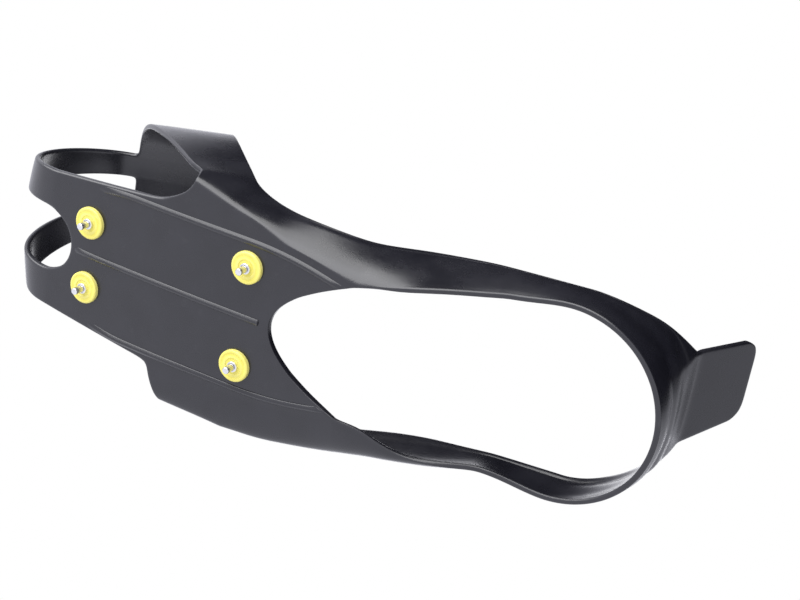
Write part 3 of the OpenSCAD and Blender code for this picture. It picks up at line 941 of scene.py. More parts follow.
@dataclass
class SideWall:
    """Side of the harness: the rail beside the plate and the opening, then the band round the heel.

    Lengths are in millimetres and angles in degrees. The columns are shares of a section's height. On the
    heel's back they lie at the back heights. The raises are the beads along the rims and the heel's ridges.
    """

    plate: SolePlate
    side: Side
    course: RailCourse
    wall: float = 2.6
    ball_half: float = 59.0
    waist_half: float = 46.1
    strap_z: float = 5.0
    bulge: float = 3.0
    split_x: float = 110.0
    split_half: float = 42.4
    split_low_z: float = 19.0
    split_top_z: float = 41.0
    heel_x: float = 139.0
    heel_r: float = 46.0
    heel_low_z: float = 24.0
    heel_half: float = 46.2
    heel_top_z: float = 46.0
    root_reach: float = 48.765
    root_angle: float = 61.86
    root_half: float = 23.0
    root_z: float = 71.7
    back_x: float = 182.0
    crown: float = 0.7
    band_h: float = 23.0
    back_rise: float = 21.0
    ridge_angle: float = 24.0
    opening_rows: int = 10
    straight_rows: int = 6
    open_angle: float = 9.0
    arc_before: tuple[float, ...] = (4.5, 9.0, 14.0, 19.0, 24.0, 29.0, 34.0, 39.0, 44.0, 49.0, 54.0, 58.2)
    arc_behind: tuple[float, ...] = (65.7, 70.0, 74.6, 79.5, 84.7, 90.0)
    low_columns: int = 3
    low_rows: float = 4.0
    rim_rows: float = 6.0
    bead_fade: float = 3.0
    wall_fade: float = 3.0
    columns: tuple[float, ...] = (
        0.0, 0.06, 0.14, 0.25, 0.36, 0.47, 0.58, 0.68, 0.77, 0.85, 0.9, 0.94, 0.97, 1.0,
    )
    back_heights: tuple[float, ...] = (
        0.0, 1.2, 4.0, 8.0, 11.5, 14.0, 16.0, 18.0, 21.5, 25.5, 30.0, 33.0,
    )
    back_raise: tuple[float, ...] = (
        0.0, 0.0, 0.0, -0.2, 0.0, 0.45, 0.7, 0.45, -0.1, 0.1, 0.6, 0.15, 0.0, 0.0,
    )
    rim_raise: tuple[float, ...] = (
        0.1, 0.15, 0.0, 0.0, 0.0, 0.0, 0.0, 0.0, 0.0, 0.0, 0.0, 0.45, 0.6, 0.35,
    )

    @property
    def arc_angles(self) -> tuple[float, ...]:
        """Angles of the sections on the heel's arc in degrees."""
        return (*self.arc_before, self.root_angle, *self.arc_behind)

    @property
    def cut_column(self) -> int:
        """Column of the line at which the heel's back panel starts."""
        return len(self.back_heights) - 1

    @property
    def cut_row(self) -> int:
        """Row at which the heel's back panel starts."""
        return self.arc_row(self.open_angle)

    @property
    def root_row(self) -> int:
        """Row of the pull tab's edge."""
        return self.arc_row(self.root_angle)

    def arc_row(self, angle: float) -> int:
        """Returns the row of one of the angles on the heel's arc."""
        first = self.plate.tail_row + self.opening_rows + self.straight_rows + 1
        return first + self.arc_angles.index(angle)

    def station(self, x: float) -> float:
        """Gives the station of a place: 0 at the strap's rear edge, 1 at the tail, 2 at the heel band.

        Args:
            x: Place along the harness.

        Returns:
            The station.
        """
        tail = self.plate.tail_x
        if x >= tail:
            return (self.plate.strap_x - x) / (self.plate.strap_x - tail)
        return 1.0 + (tail - x) / (tail + self.split_x)

    def rim(self, x: float) -> Vector:
        """Gives a point of the upper rim.

        Args:
            x: Place along the harness.

        Returns:
            The point.
        """
        at = self.station(x)
        half = lerp(self.ball_half, self.waist_half, along(self.course.half, at))
        return Vector((x, half, lerp(self.strap_z, self.split_top_z, along(self.course.height, at))))

    def low(self, x: float) -> Vector:
        """Gives a point of the lower edge, which runs along the plate and then along the opening.

        Args:
            x: Place along the harness.

        Returns:
            The point.
        """
        if x >= self.plate.tail_x:
            return self.plate.outer(x, self.plate.edge(x))
        at = self.station(x)
        y = lerp(self.plate.opening_half, self.split_half, along(self.course.opening, at))
        return Vector((x, y, lerp(-self.wall, self.split_low_z, along(self.course.rise, at))))

    def rail_point(self, x: float, t: float) -> Vector:
        """Gives a point of the rail.

        Args:
            x: Place along the harness.
            t: Share of the section, from 0 at the lower edge to 1 at the rim.

        Returns:
            The point.
        """
        at = self.station(x)
        rim = self.rim(x)
        low = self.low(x)
        middle_z = (self.split_low_z + self.split_top_z) / 2.0
        corner = Vector((
            x,
            rim.y + self.bulge * along(self.course.bulge, at),
            lerp(low.z if at < 1.0 else -self.wall, middle_z, along(self.course.corner, at)),
        ))
        return corner_curve(low, corner, rim, along(self.course.pull, at), t)

    def rail_rows(self) -> Grid:
        """Lays out the rail.

        Returns:
            The rows of points, from the window back to the heel band.
        """
        plate = self.plate
        fronts = [along(self.course.front, t) for t in self.columns]
        rears = [lerp(plate.strap_x, self.course.strap_rear_x, smooth(t)) for t in self.columns]
        places = []
        for share in plate.strap_run:
            places.append([lerp(front, rear, share) for front, rear in zip(fronts, rears)])
        for share in plate.waist_run[1:]:
            places.append([lerp(rear, plate.tail_x, share) for rear in rears])
        for k in range(1, self.opening_rows + 1):
            places.append([lerp(plate.tail_x, -self.split_x, k / self.opening_rows)] * len(self.columns))
        return [[self.rail_point(x, t) for x, t in zip(row, self.columns)] for row in places]

    def heel_edges(self, run: float, angle: float) -> tuple[Vector, Vector, Vector]:
        """Gives the heel band's edges at one of its sections.

        Args:
            run: Share of the straight part in front of the arc.
            angle: Angle on the arc in degrees.

        Returns:
            The lower edge, the upper edge and the outward direction.
        """
        if angle <= 0.0:
            x = lerp(-self.split_x, -self.heel_x, run)
            low_z = lerp(self.split_low_z, self.heel_low_z, math.sin(run * math.pi / 2.0))
            low = Vector((x, lerp(self.split_half, self.heel_r, smooth(run)), low_z))
            high_z = lerp(self.split_top_z, self.heel_top_z, run)
            high = Vector((x, lerp(self.waist_half, self.heel_half, run), high_z))
            return low, high, Vector((0.0, 1.0, 0.0))
        turn = math.radians(angle)
        out = Vector((-math.sin(turn), math.cos(turn), 0.0))
        centre = Vector((-self.heel_x, 0.0, 0.0))
        low = centre + out * self.heel_r
        low.z = self.heel_low_z
        k = angle / self.root_angle
        if k <= 1.0:
            high = centre + out * lerp(self.heel_half, self.root_reach, smooth(k))
            high.z = lerp(self.heel_top_z, self.root_z, k * k)
        else:
            share = (angle - self.root_angle) / (90.0 - self.root_angle)
            high = Vector((-self.back_x, self.root_half * (1.0 - share), self.root_z))
        return low, high, out

    def heel_point(self, run: float, angle: float, t: float) -> Vector:
        """Returns the point of the heel band at one of its sections, at the share t of its height."""
        low, high, out = self.heel_edges(run, angle)
        return low.lerp(high, t) + out * (self.crown * 4.0 * t * (1.0 - t))

    def heel_sections(self) -> list[Span]:
        """Returns the run and angle of each section of the heel band behind the rail."""
        straight = [(k / self.straight_rows, 0.0) for k in range(1, self.straight_rows + 1)]
        return straight + [(1.0, angle) for angle in self.arc_angles]

    def back_share(self, run: float, angle: float) -> tuple[float, float]:
        """Tells how far a section of the heel band belongs to the raised back.

        Args:
            run: Share of the straight part in front of the arc.
            angle: Angle on the arc in degrees.

        Returns:
            The share, from 0 to 1, and the section's height.
        """
        low, high, _ = self.heel_edges(run, angle)
        height = (high - low).length
        return smooth((height - self.band_h) / self.back_rise), height

    def column_share(self, j: int, run: float, angle: float) -> float:
        """Tells where a column lies in a section of the heel band.

        Args:
            j: Number of the column.
            run: Share of the straight part in front of the arc.
            angle: Angle on the arc in degrees.

        Returns:
            The share of the section's height.
        """
        back, height = self.back_share(run, angle)
        if j > self.cut_column:
            cut = self.column_share(self.cut_column, run, angle)
            span = 1.0 - self.columns[self.cut_column]
            return lerp(cut, 1.0, (self.columns[j] - self.columns[self.cut_column]) / span)
        return lerp(self.columns[j], self.back_heights[j] / height, back)

    def grid(self) -> Grid:
        """Lays out the side, with the beads along its rims and the ridges of the heel.

        Returns:
            The rows of points, from the window back to the middle of the heel.
        """
        rows = self.rail_rows()
        rail_rows = len(rows)
        sections = self.heel_sections()
        for run, angle in sections:
            shares = [self.column_share(j, run, angle) for j in range(len(self.columns))]
            rows.append([self.heel_point(run, angle, share) for share in shares])
        tail_row = self.plate.tail_row
        strap_row = len(self.plate.strap_run) - 1

        def height(i: int, j: int) -> float:
            """Tells how far a point is raised.

            Args:
                i: Row of the point.
                j: Column of the point.

            Returns:
                The height in millimetres.
            """
            raised = self.rim_raise[j]
            if j < self.low_columns:
                raised *= smooth((i - tail_row) / self.low_rows)
            else:
                raised *= smooth((i - strap_row) / self.rim_rows)
            if i >= rail_rows:
                run, angle = sections[i - rail_rows]
                back, _ = self.back_share(run, angle)
                if j >= self.low_columns:
                    raised *= 1.0 - smooth(back * self.bead_fade)
                raised += self.back_raise[j] * smooth(angle / self.ridge_angle)
            return raised

        return push_out(rows, height)

    def sheet(self) -> bpy.types.Object:
        """Builds the side, with the heel's back panel marked for the tab's piece.

        Returns:
            The sheet.
        """
        plate = self.plate
        grid = self.grid()
        share = self.wall / plate.thickness

        def walls(i: int, j: int) -> float:
            """Tells how thick the wall is at a point.

            Args:
                i: Row of the point.
                j: Column of the point.

            Returns:
                The wall as a share of the plate's thickness.
            """
            if i > plate.tail_row:
                return share
            low = grid[i][0]
            beside = plate.wall(low.x, low.y) / plate.thickness
            return lerp(beside, share, smooth(self.columns[j] * self.wall_fade))

        def on_tab(i: int, j: int) -> bool:
            """Tells whether the point in row i and column j lies on the back panel."""
            return i >= self.cut_row and j >= self.cut_column

        return add_sheet("side_wall", self.side, grid, walls, on_tab)


@dataclass(frozen=True)
class StrapEdge:
    """Edge of one half of the toe strap: its base, its top in the middle plane, its swell and its bow."""

    base: Place
    top_x: float
    top_z: float
    swell: float
    square: float
    bow: float = 0.0
    bow_late: float = 1.0


ARCH_FRONT = StrapEdge(
    base=(35.5, 55.0, 5.0), top_x=116.0, top_z=79.5, swell=2.5, square=2.5, bow=7.0, bow_late=1.4,
)
ARCH_REAR = StrapEdge(base=(16.5, 50.6, 25.0), top_x=72.0, top_z=90.5, swell=9.5, square=2.9, bow=4.0)
OUTER_FRONT = StrapEdge(base=(39.0, 58.0, 5.0), top_x=116.0, top_z=79.5, swell=5.0, square=2.8)
OUTER_REAR = StrapEdge(base=(5.0, 59.0, 5.0), top_x=72.0, top_z=90.5, swell=5.0, square=3.6)


@dataclass
class ToeStrap:
    """Half of the band over the toes, and the arm that runs up to it from the plate's front end.

    Lengths are in millimetres.
    """

    plate: SolePlate
    wall_below: SideWall
    front: StrapEdge
    rear: StrapEdge
    wall: float = 2.6
    toe_x: float = 138.0
    toe_r: float = 69.0
    arm_gap: float = 8.0
    arm_w: float = 13.0
    arm_full: float = 18.0
    side_rows: int = 15
    side_crowd: float = 1.25
    arm_rows: int = 16
    arm_fade: float = 4.0

    def strap_point(self, angle: float, w: float) -> Vector:
        """Gives a point of the strap.

        Args:
            angle: Angle up from the base, in radians.
            w: Share of the width, from 0 at the front edge to 1 at the rear edge.

        Returns:
            The point.
        """
        front, rear = self.front, self.rear
        square = lerp(front.square, rear.square, w)
        up = math.sin(angle) ** (2.0 / square)
        out = max(0.0, math.cos(angle)) ** (2.0 / square)
        base_x, base_y, base_z = (lerp(a, b, w) for a, b in zip(front.base, rear.base))
        late = lerp(front.bow_late, rear.bow_late, w)
        bow = lerp(front.bow, rear.bow, w) * math.sin(math.pi * up**late)
        return Vector((
            lerp(base_x, lerp(front.top_x, rear.top_x, w), up) + bow,
            (base_y + lerp(front.swell, rear.swell, w) * up) * out,
            lerp(base_z, lerp(front.top_z, rear.top_z, w), up),
        ))

    def arm_top(self, u: float) -> float:
        """Returns the distance from the middle at which an arm's column u meets the strap."""
        return self.arm_gap + self.arm_w * u

    def angle_at(self, y: float) -> float:
        """Returns the angle at which the strap's front edge is at the distance y from the middle."""
        return solve(lambda a: y - self.strap_point(a, 0.0).y, 0.0, math.pi / 2.0)

    def angles(self) -> list[float]:
        """Lists the angles of the strap's rows.

        Returns:
            The angles, from the base to the middle of the top.
        """
        joins = [self.angle_at(self.arm_top(u)) for u in reversed(self.plate.arm_columns)]
        first = [joins[0] * (k / self.side_rows) ** self.side_crowd for k in range(self.side_rows)]
        return first + joins + [self.angle_at(self.arm_gap / 2.0), math.pi / 2.0]

    def strap_sheet(self) -> bpy.types.Object:
        """Builds this half of the strap.

        Returns:
            The sheet.
        """
        share = self.wall / self.plate.thickness
        grid = [[self.strap_point(angle, w) for w in self.plate.strap_run] for angle in self.angles()]
        grid[0] = [self.wall_below.rim(point.x) for point in grid[0]]
        return add_sheet("toe_strap", self.wall_below.side, grid, lambda i, j: share)

    def arm_point(self, u: float, v: float) -> Vector:
        """Gives a point of the arm.

        Args:
            u: Share of the arm's width, from 0 beside the notch to 1.
            v: Share of its length, from 0 at the plate to 1 at the strap.

        Returns:
            The point.
        """
        plate = self.plate
        root_y = lerp(plate.notch_mouth, plate.front_half, u)
        root = plate.outer(plate.front_x, root_y)
        top = self.strap_point(self.angle_at(self.arm_top(u)), 0.0)
        y = lerp(root_y, top.y, smooth(v))
        reach = self.toe_x - y * y / (2.0 * self.toe_r)
        rise = (plate.front_x - plate.flat_x) / plate.spring_r
        low_x = reach + self.arm_full
        fall = (self.rear.top_z - self.front.top_z) / (self.front.top_x - self.rear.top_x)
        point = cubic(
            root,
            Vector((low_x, y, root.z + rise * (low_x - root.x))),
            Vector((reach, y, top.z - fall * (reach - top.x))),
            top,
            v,
        )
        point.y = y
        return point

    def arm_sheet(self) -> bpy.types.Object:
        """Builds the arm, as thick as the plate at its root.

        Returns:
            The sheet.
        """
        share = self.wall / self.plate.thickness
        runs = [k / self.arm_rows for k in range(self.arm_rows + 1)]
        walls = [lerp(1.0, share, smooth(run * self.arm_fade)) for run in runs]
        grid = [[self.arm_point(u, run) for u in self.plate.arm_columns] for run in runs]
        return add_sheet("toe_arm", self.wall_below.side, grid, lambda i, j: walls[i])


@dataclass
class PullTab:
    """Pull tab that grows out of the heel band's raised back.

    Lengths are in millimetres and the lean in degrees. The bend's ends are places in the frame, in metres.
    """

    wall_below: SideWall
    root_x: float = -182.1
    root_z: float = 73.0
    end_half: float = 20.5
    length: float = 43.5
    lean: float = 21.0
    corner_r: float = 9.0
    thickness: float = 3.0
    steps: tuple[float, ...] = (0.05, 0.14, 0.28, 0.42, 0.56, 0.7, 0.83, 0.94, 1.0)
    bend_start: Place = (-0.182, 0.0, 0.070)
    bend_end: Place = (-0.182, 0.0, 0.079)

    def tab_point(self, across: float, share: float) -> Vector:
        """Gives a point of the tab's outer face.

        Args:
            across: Share of the half width, from 0 in the middle to 1 at the edge.
            share: Share of the length, from 0 at the root.

        Returns:
            The point in millimetres.
        """
        y = across * lerp(self.wall_below.root_half, self.end_half, share)
        start = self.end_half - self.corner_r
        past = max(0.0, across * self.end_half - start)
        drop = self.corner_r - math.sqrt(max(0.0, self.corner_r**2 - past**2))
        run = share * (self.length - drop)
        turn = math.radians(self.lean)
        return Vector((self.root_x - run * math.sin(turn), y, self.root_z + run * math.cos(turn)))

    def tab_sheet(self, side: Side) -> bpy.types.Object:
        """Builds one half of the tab.

        Args:
            side: Side of the harness.

        Returns:
            The sheet.
        """
        wall = self.wall_below
        grid = []
        for row in wall.grid()[wall.root_row:]:
            root = row[-1]
            across = root.y / wall.root_half
            grid.append([root] + [self.tab_point(across, share) for share in self.steps])
        full = self.thickness / wall.plate.thickness
        return add_sheet("tab", side, grid, lambda i, j: full, lambda i, j: True)

    def dress(self, piece: bpy.types.Object, rubber: bpy.types.Material) -> None:
        """Gives the tab its finish and its place in the frame.

        Args:
            piece: The tab.
            rubber: Material of the rubber.
        """
        piece.data.materials.append(rubber)
        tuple(self.bend_start)
        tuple(self.bend_end)
        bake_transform(piece)
        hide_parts("pull_tab")


@dataclass
class Harness:
    """The one rubber moulding: plate, ribs, sides, toe strap, toe arms, heel band and pull tab.

    The weld is in millimetres. The bend's ends are places in the frame, in metres.
    """

    plate: SolePlate
    walls: dict[Side, SideWall]
    straps: dict[Side, ToeStrap]
    tab: PullTab
    levels: int = 2
    weld: float = 0.15
    bend_start: Place = (-0.052, 0.0, 0.02)
    bend_end: Place = (-0.112, 0.0, 0.02)
    nodes: tuple[str, ...] = (
        "sole_plate", "left_side_rail", "right_side_rail", "toe_strap", "left_toe_arm", "right_toe_arm",
        "heel_band",
    )

    def half_sheets(self, side: Side) -> list[bpy.types.Object]:
        """Builds the outer face of one half.

        Args:
            side: Side of the harness.

        Returns:
            The sheets.
        """
        return [
            self.plate.plate_sheet(side),
            self.walls[side].sheet(),
            self.straps[side].strap_sheet(),
            self.straps[side].arm_sheet(),
            self.tab.tab_sheet(side),
            self.plate.rib_sheet(side, Rib.EDGE),
            self.plate.rib_sheet(side, Rib.MIDDLE),
        ]

    def build(self) -> tuple[bpy.types.Object, bpy.types.Object]:
        """Builds the moulding and takes the pull tab off along the heel's upper ridge.

        Returns:
            The harness and the pull tab.
        """
        sheets = self.half_sheets(Side.LEFT) + self.half_sheets(Side.RIGHT)
        piece = join_sheets("rubber_harness", sheets, self.weld)
        face_outwards(piece)
        piece.vertex_groups.new(name="inner")
        apply_modifier(
            piece,
            "SOLIDIFY",
            thickness=self.plate.thickness * MM,
            offset=-1.0,
            vertex_group="wall",
            shell_vertex_group="inner",
            use_even_offset=False,
            use_rim=True,
        )
        apply_modifier(piece, "SUBSURF", levels=self.levels, render_levels=self.levels)
        take_up(piece)
        bpy.ops.object.shade_smooth()
        tab = take_off(piece, "tab", "pull_tab_moulding")
        for part in (piece, tab):
            close_cut(part, "inner")
        return piece, tab

    def dress(self, piece: bpy.types.Object, rubber: bpy.types.Material) -> None:
        """Gives the harness its finish and its place in the frame.

        Args:
            piece: The harness without the tab.
            rubber: Material of the rubber.
        """
        piece.data.materials.append(rubber)
        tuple(self.bend_start)
        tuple(self.bend_end)
        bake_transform(piece)
        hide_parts(*self.nodes)


def group_weight(piece: bpy.types.Object, name: str) -> Callable[..., float]:
    """Makes a function that reads a vertex group in edit mode.

    Args:
        piece: Piece with the vertex group.
        name: Name of the group.

    Returns:
        A function of the mesh and one of its points, which gives the point's weight.
    """
    number = piece.vertex_groups[name].index

    def weight(mesh: bmesh.types.BMesh, vertex: bmesh.types.BMVert) -> float:
        """Returns the weight of a point."""
        return vertex[mesh.verts.layers.deform.active].get(number, 0.0)

    return weight


def take_off(piece: bpy.types.Object, group: str, name: str) -> bpy.types.Object:
    """Separates the faces that lie wholly in a vertex group.

    Args:
        piece: Piece to divide.
        group: Name of the vertex group.
        name: Name of the new piece.

    Returns:
        The new piece.
    """
    take_up(piece)
    weight = group_weight(piece, group)
    bpy.ops.object.mode_set(mode="EDIT")
    mesh = bmesh.from_edit_mesh(piece.data)
    select_in_edit(piece, faces=lambda face: all(weight(mesh, v) > WHOLE for v in face.verts))
    bpy.ops.mesh.separate(type="SELECTED")
    bpy.ops.object.mode_set(mode="OBJECT")
    part = next(o for o in bpy.context.selected_objects if o is not piece)
    part.name = name
    part.data.name = name
    return part


def close_cut(piece: bpy.types.Object, inner: str) -> None:
    """Closes the cut wall of a shell between its outer and its inner face.

    Args:
        piece: Shell with one open cut.
        inner: Vertex group of the inner face.
    """
    take_up(piece)
    weight = group_weight(piece, inner)
    bpy.ops.object.mode_set(mode="EDIT")
    mesh = bmesh.from_edit_mesh(piece.data)

    def on_face(edge: bmesh.types.BMEdge) -> bool:
        """Tells whether an edge of the cut lies on the outer or on the inner face."""
        shares = [weight(mesh, v) for v in edge.verts]
        return edge.is_boundary and (max(shares) < 1.0 - WHOLE or min(shares) > WHOLE)

    select_in_edit(piece, edges=lambda edge: edge.is_boundary)
    bpy.ops.mesh.mark_sharp()
    select_in_edit(piece, edges=on_face)
    bpy.ops.mesh.bridge_edge_loops()
    select_in_edit(piece, edges=lambda edge: edge.is_boundary)
    bpy.ops.mesh.fill_holes(sides=0)
    bpy.ops.object.mode_set(mode="OBJECT")


def face_outwards(piece: bpy.types.Object) -> None:
    """Turns the islands of the outer face so that they look away from the inside of the harness.

    Args:
        piece: The outer face of the harness.
    """
    take_up(piece)
    bpy.ops.object.mode_set(mode="EDIT")
    bpy.ops.mesh.select_all(action="SELECT")
    bpy.ops.mesh.normals_make_consistent(inside=False)
    mesh = bmesh.from_edit_mesh(piece.data)
    seen: set[bmesh.types.BMFace] = set()
    turned: set[bmesh.types.BMFace] = set()
    for seed in mesh.faces:
        if seed in seen:
            continue
        island = [seed]
        seen.add(seed)
        for face in island:
            near = {other for edge in face.edges for other in edge.link_faces} - seen
            seen |= near
            island.extend(near)
        lean = 0.0
        for face in island:
            middle = face.calc_center_median()
            inside = Vector((max(INSIDE_REAR, min(INSIDE_FRONT, middle.x)), 0.0, max(INSIDE_Z, middle.z)))
            lean += face.normal.dot(middle - inside) * face.calc_area()
        if lean < 0.0:
            turned.update(island)
    select_in_edit(piece, faces=lambda face: face in turned)
    if turned:
        bpy.ops.mesh.flip_normals()
    bpy.ops.object.mode_set(mode="OBJECT")


# Studs


@dataclass
class Stud:
    """One stud: steel pin with a flat head, yellow disc and steel collar, pointing down from z = 0.

    Lengths are in millimetres. The steps are pairs of inset and depth, from the rim to the middle.
    """

    plate: SolePlate
    row_x: float = 84.0
    front_w: float = 32.0
    rear_w: float = 47.5
    disc_d: float = 15.0
    disc_t: float = 2.0
    disc_rim_r: float = 0.8
    disc_sides: int = 96
    disc_steps: tuple[Span, ...] = (
        (0.45, 0.0), (0.18, -0.09), (0.9, 0.0), (0.18, 0.09), (1.0, 0.0), (0.3, -0.3), (0.5, 0.0),
    )
    collar_d: float = 5.0
    collar_h: float = 0.9
    collar_sunk: float = 0.4
    collar_rim_r: float = 0.3
    collar_sides: int = 64
    collar_steps: tuple[Span, ...] = ((0.2, 0.0), (0.12, -0.35), (0.1, 0.0))
    pin_d: float = 3.2
    pin_out: float = 6.0
    pin_chamfer: float = 0.5
    pin_sides: int = 48
    head_d: float = 11.0
    head_t: float = 1.2
    head_proud: float = 0.15
    head_rim_r: float = 0.25
    smooth_angle: float = 32.0
    near: float = 0.02
    parts: dict[str, bpy.types.Object] = field(default_factory=dict)

    def turned_blank(
        self, name: str, diameter: float, top: float, bottom: float, sides: int
    ) -> bpy.types.Object:
        """Adds a round blank between two heights and opens it in edit mode.

        Args:
            name: Name of the piece.
            diameter: Diameter in millimetres.
            top: Upper height in millimetres.
            bottom: Lower height in millimetres.
            sides: Number of points round it.

        Returns:
            The piece, in edit mode.
        """
        bpy.ops.object.select_all(action="DESELECT")
        bpy.ops.mesh.primitive_cylinder_add(
            vertices=sides,
            radius=diameter / 2.0 * MM,
            depth=(top - bottom) * MM,
            location=(0.0, 0.0, (top + bottom) / 2.0 * MM),
        )
        bpy.ops.object.transform_apply(location=True, rotation=True, scale=True)
        piece = bpy.context.object
        piece.name = name
        bpy.ops.object.mode_set(mode="EDIT")
        return piece

    def round_rim(
        self, piece: bpy.types.Object, height: float, diameter: float, offset: float, segments: int
    ) -> None:
        """Rounds a ring of edges.

        Args:
            piece: Piece in edit mode.
            height: Height of the ring in millimetres.
            diameter: Diameter of the ring in millimetres.
            offset: Width of the rounding in millimetres.
            segments: Number of steps in the rounding.
        """
        def on_rim(edge: bmesh.types.BMEdge) -> bool:
            """Tells whether an edge lies on the ring."""
            ends = [v.co / MM for v in edge.verts]
            return max(max(abs(p.z - height), abs(p.xy.length - diameter / 2.0)) for p in ends) < self.near

        select_in_edit(piece, edges=on_rim)
        bpy.ops.mesh.bevel(offset=offset * MM, segments=segments, affect="EDGES")

    def select_cap(self, piece: bpy.types.Object) -> None:
        """Selects the smallest round face that looks down.

        Args:
            piece: Piece in edit mode.
        """
        mesh = bmesh.from_edit_mesh(piece.data)
        caps = [face for face in mesh.faces if face.normal.z < -WHOLE and len(face.verts) > 4]
        chosen = min(caps, key=lambda face: face.calc_area())
        select_in_edit(piece, faces=lambda face: face == chosen)

    def step_cap(self, piece: bpy.types.Object, steps: Sequence[Span]) -> None:
        """Insets the lower cap again and again.

        Args:
            piece: Piece in edit mode.
            steps: Pairs of inset and depth in millimetres, the depth outwards.
        """
        for inset, depth in steps:
            self.select_cap(piece)
            bpy.ops.mesh.inset(thickness=inset * MM, depth=depth * MM)

    def close(self, piece: bpy.types.Object) -> bpy.types.Object:
        """Leaves edit mode and shades a piece.

        Args:
            piece: Piece in edit mode.

        Returns:
            The piece.
        """
        bpy.ops.mesh.select_all(action="SELECT")
        bpy.ops.mesh.normals_make_consistent(inside=False)
        bpy.ops.object.mode_set(mode="OBJECT")
        take_up(piece)
        bpy.ops.object.shade_smooth_by_angle(angle=math.radians(self.smooth_angle))
        return piece

    def build_disc(self) -> bpy.types.Object:
        """Builds the disc: rounded rim, two faint rings and a shallow seat for the collar.

        Returns:
            The disc.
        """
        piece = self.turned_blank("disc", self.disc_d, 0.0, -self.disc_t, self.disc_sides)
        self.round_rim(piece, -self.disc_t, self.disc_d, self.disc_rim_r, segments=6)
        self.step_cap(piece, self.disc_steps)
        return self.close(piece)

    def build_collar(self) -> bpy.types.Object:
        """Builds the collar: a rounded ring with a sunk middle.

        Returns:
            The collar.
        """
        top = -self.disc_t + self.collar_sunk
        bottom = -self.disc_t - self.collar_h
        piece = self.turned_blank("collar", self.collar_d, top, bottom, self.collar_sides)
        self.round_rim(piece, bottom, self.collar_d, self.collar_rim_r, segments=4)
        self.step_cap(piece, self.collar_steps)
        return self.close(piece)

    def build_pin(self) -> bpy.types.Object:
        """Builds the pin: a shank with a chamfered tip, and a flat head in the plate's upper face.

        Returns:
            The pin.
        """
        head_low = self.plate.thickness - self.head_t
        head_top = self.plate.thickness + self.head_proud
        tip = -self.disc_t - self.pin_out
        piece = self.turned_blank("pin", self.pin_d, head_low, tip, self.pin_sides)
        select_in_edit(piece, faces=lambda face: face.normal.z > WHOLE)
        bpy.ops.mesh.extrude_region_move(TRANSFORM_OT_translate={"value": (0.0, 0.0, 0.0)})
        grow = self.head_d / self.pin_d
        bpy.ops.transform.resize(value=(grow, grow, 1.0), center_override=(0.0, 0.0, head_low * MM))
        rise = (head_top - head_low) * MM
        bpy.ops.mesh.extrude_region_move(TRANSFORM_OT_translate={"value": (0.0, 0.0, rise)})
        self.round_rim(piece, head_top, self.head_d, self.head_rim_r, segments=3)
        self.round_rim(piece, tip, self.pin_d, self.pin_chamfer, segments=3)
        return self.close(piece)

    def build(self) -> None:
        """Builds the three parts once, at the origin."""
        self.parts = {"disc": self.build_disc(), "collar": self.build_collar(), "pin": self.build_pin()}

    def seat(self, row: StudRow, side: Side) -> Matrix:
        """Gives the placing of a stud on the plate's outer face.

        Args:
            row: Row of the stud.
            side: Side of the stud.

        Returns:
            The placing.
        """
        x = self.row_x if row is StudRow.FRONT else 0.0
        y = side.value * (self.front_w if row is StudRow.FRONT else self.rear_w) / 2.0
        slope = math.atan(max(0.0, x - self.plate.flat_x) / self.plate.spring_r)
        place = Matrix.Translation(Vector((x, y, self.plate.lift(x))) * MM)
        down = Matrix.Translation(Vector((0.0, 0.0, -self.plate.thickness * MM)))
        return place @ Matrix.Rotation(-slope, 4, "Y") @ down

    def place(
        self, row: StudRow, side: Side, finishes: dict[str, bpy.types.Material]
    ) -> list[bpy.types.Object]:
        """Copies the parts to one seat and dresses them.

        Args:
            row: Row of the stud.
            side: Side of the stud.
            finishes: Material of each part.

        Returns:
            The pieces.
        """
        pieces = []
        for key, model in self.parts.items():
            node = f"{row.value}_{side.name.lower()}_stud_{key}"
            piece = put_in_scene(f"{node}_look", model.data.copy())
            piece.data.transform(self.seat(row, side))
            piece.data.materials.append(finishes[key])
            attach(piece, Body.FOREFOOT.value)
            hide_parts(node)
            pieces.append(piece)
        return pieces

    def put_away(self) -> None:
        """Removes the models that the studs were copied from."""
        for model in self.parts.values():
            bpy.data.objects.remove(model, do_unlink=True)


# Studio


@dataclass(frozen=True)
class Shade:
    """Dark patch of the surround: its direction, where it starts and is full as cosines, and its level."""

    towards: Place
    start: float
    full: float
    level: float


@dataclass(frozen=True)
class Lamp:
    """Square soft lamp: its direction from the object, its distance and side in metres, and its watts."""

    name: str
    towards: Place
    distance: float
    size: float
    power: float


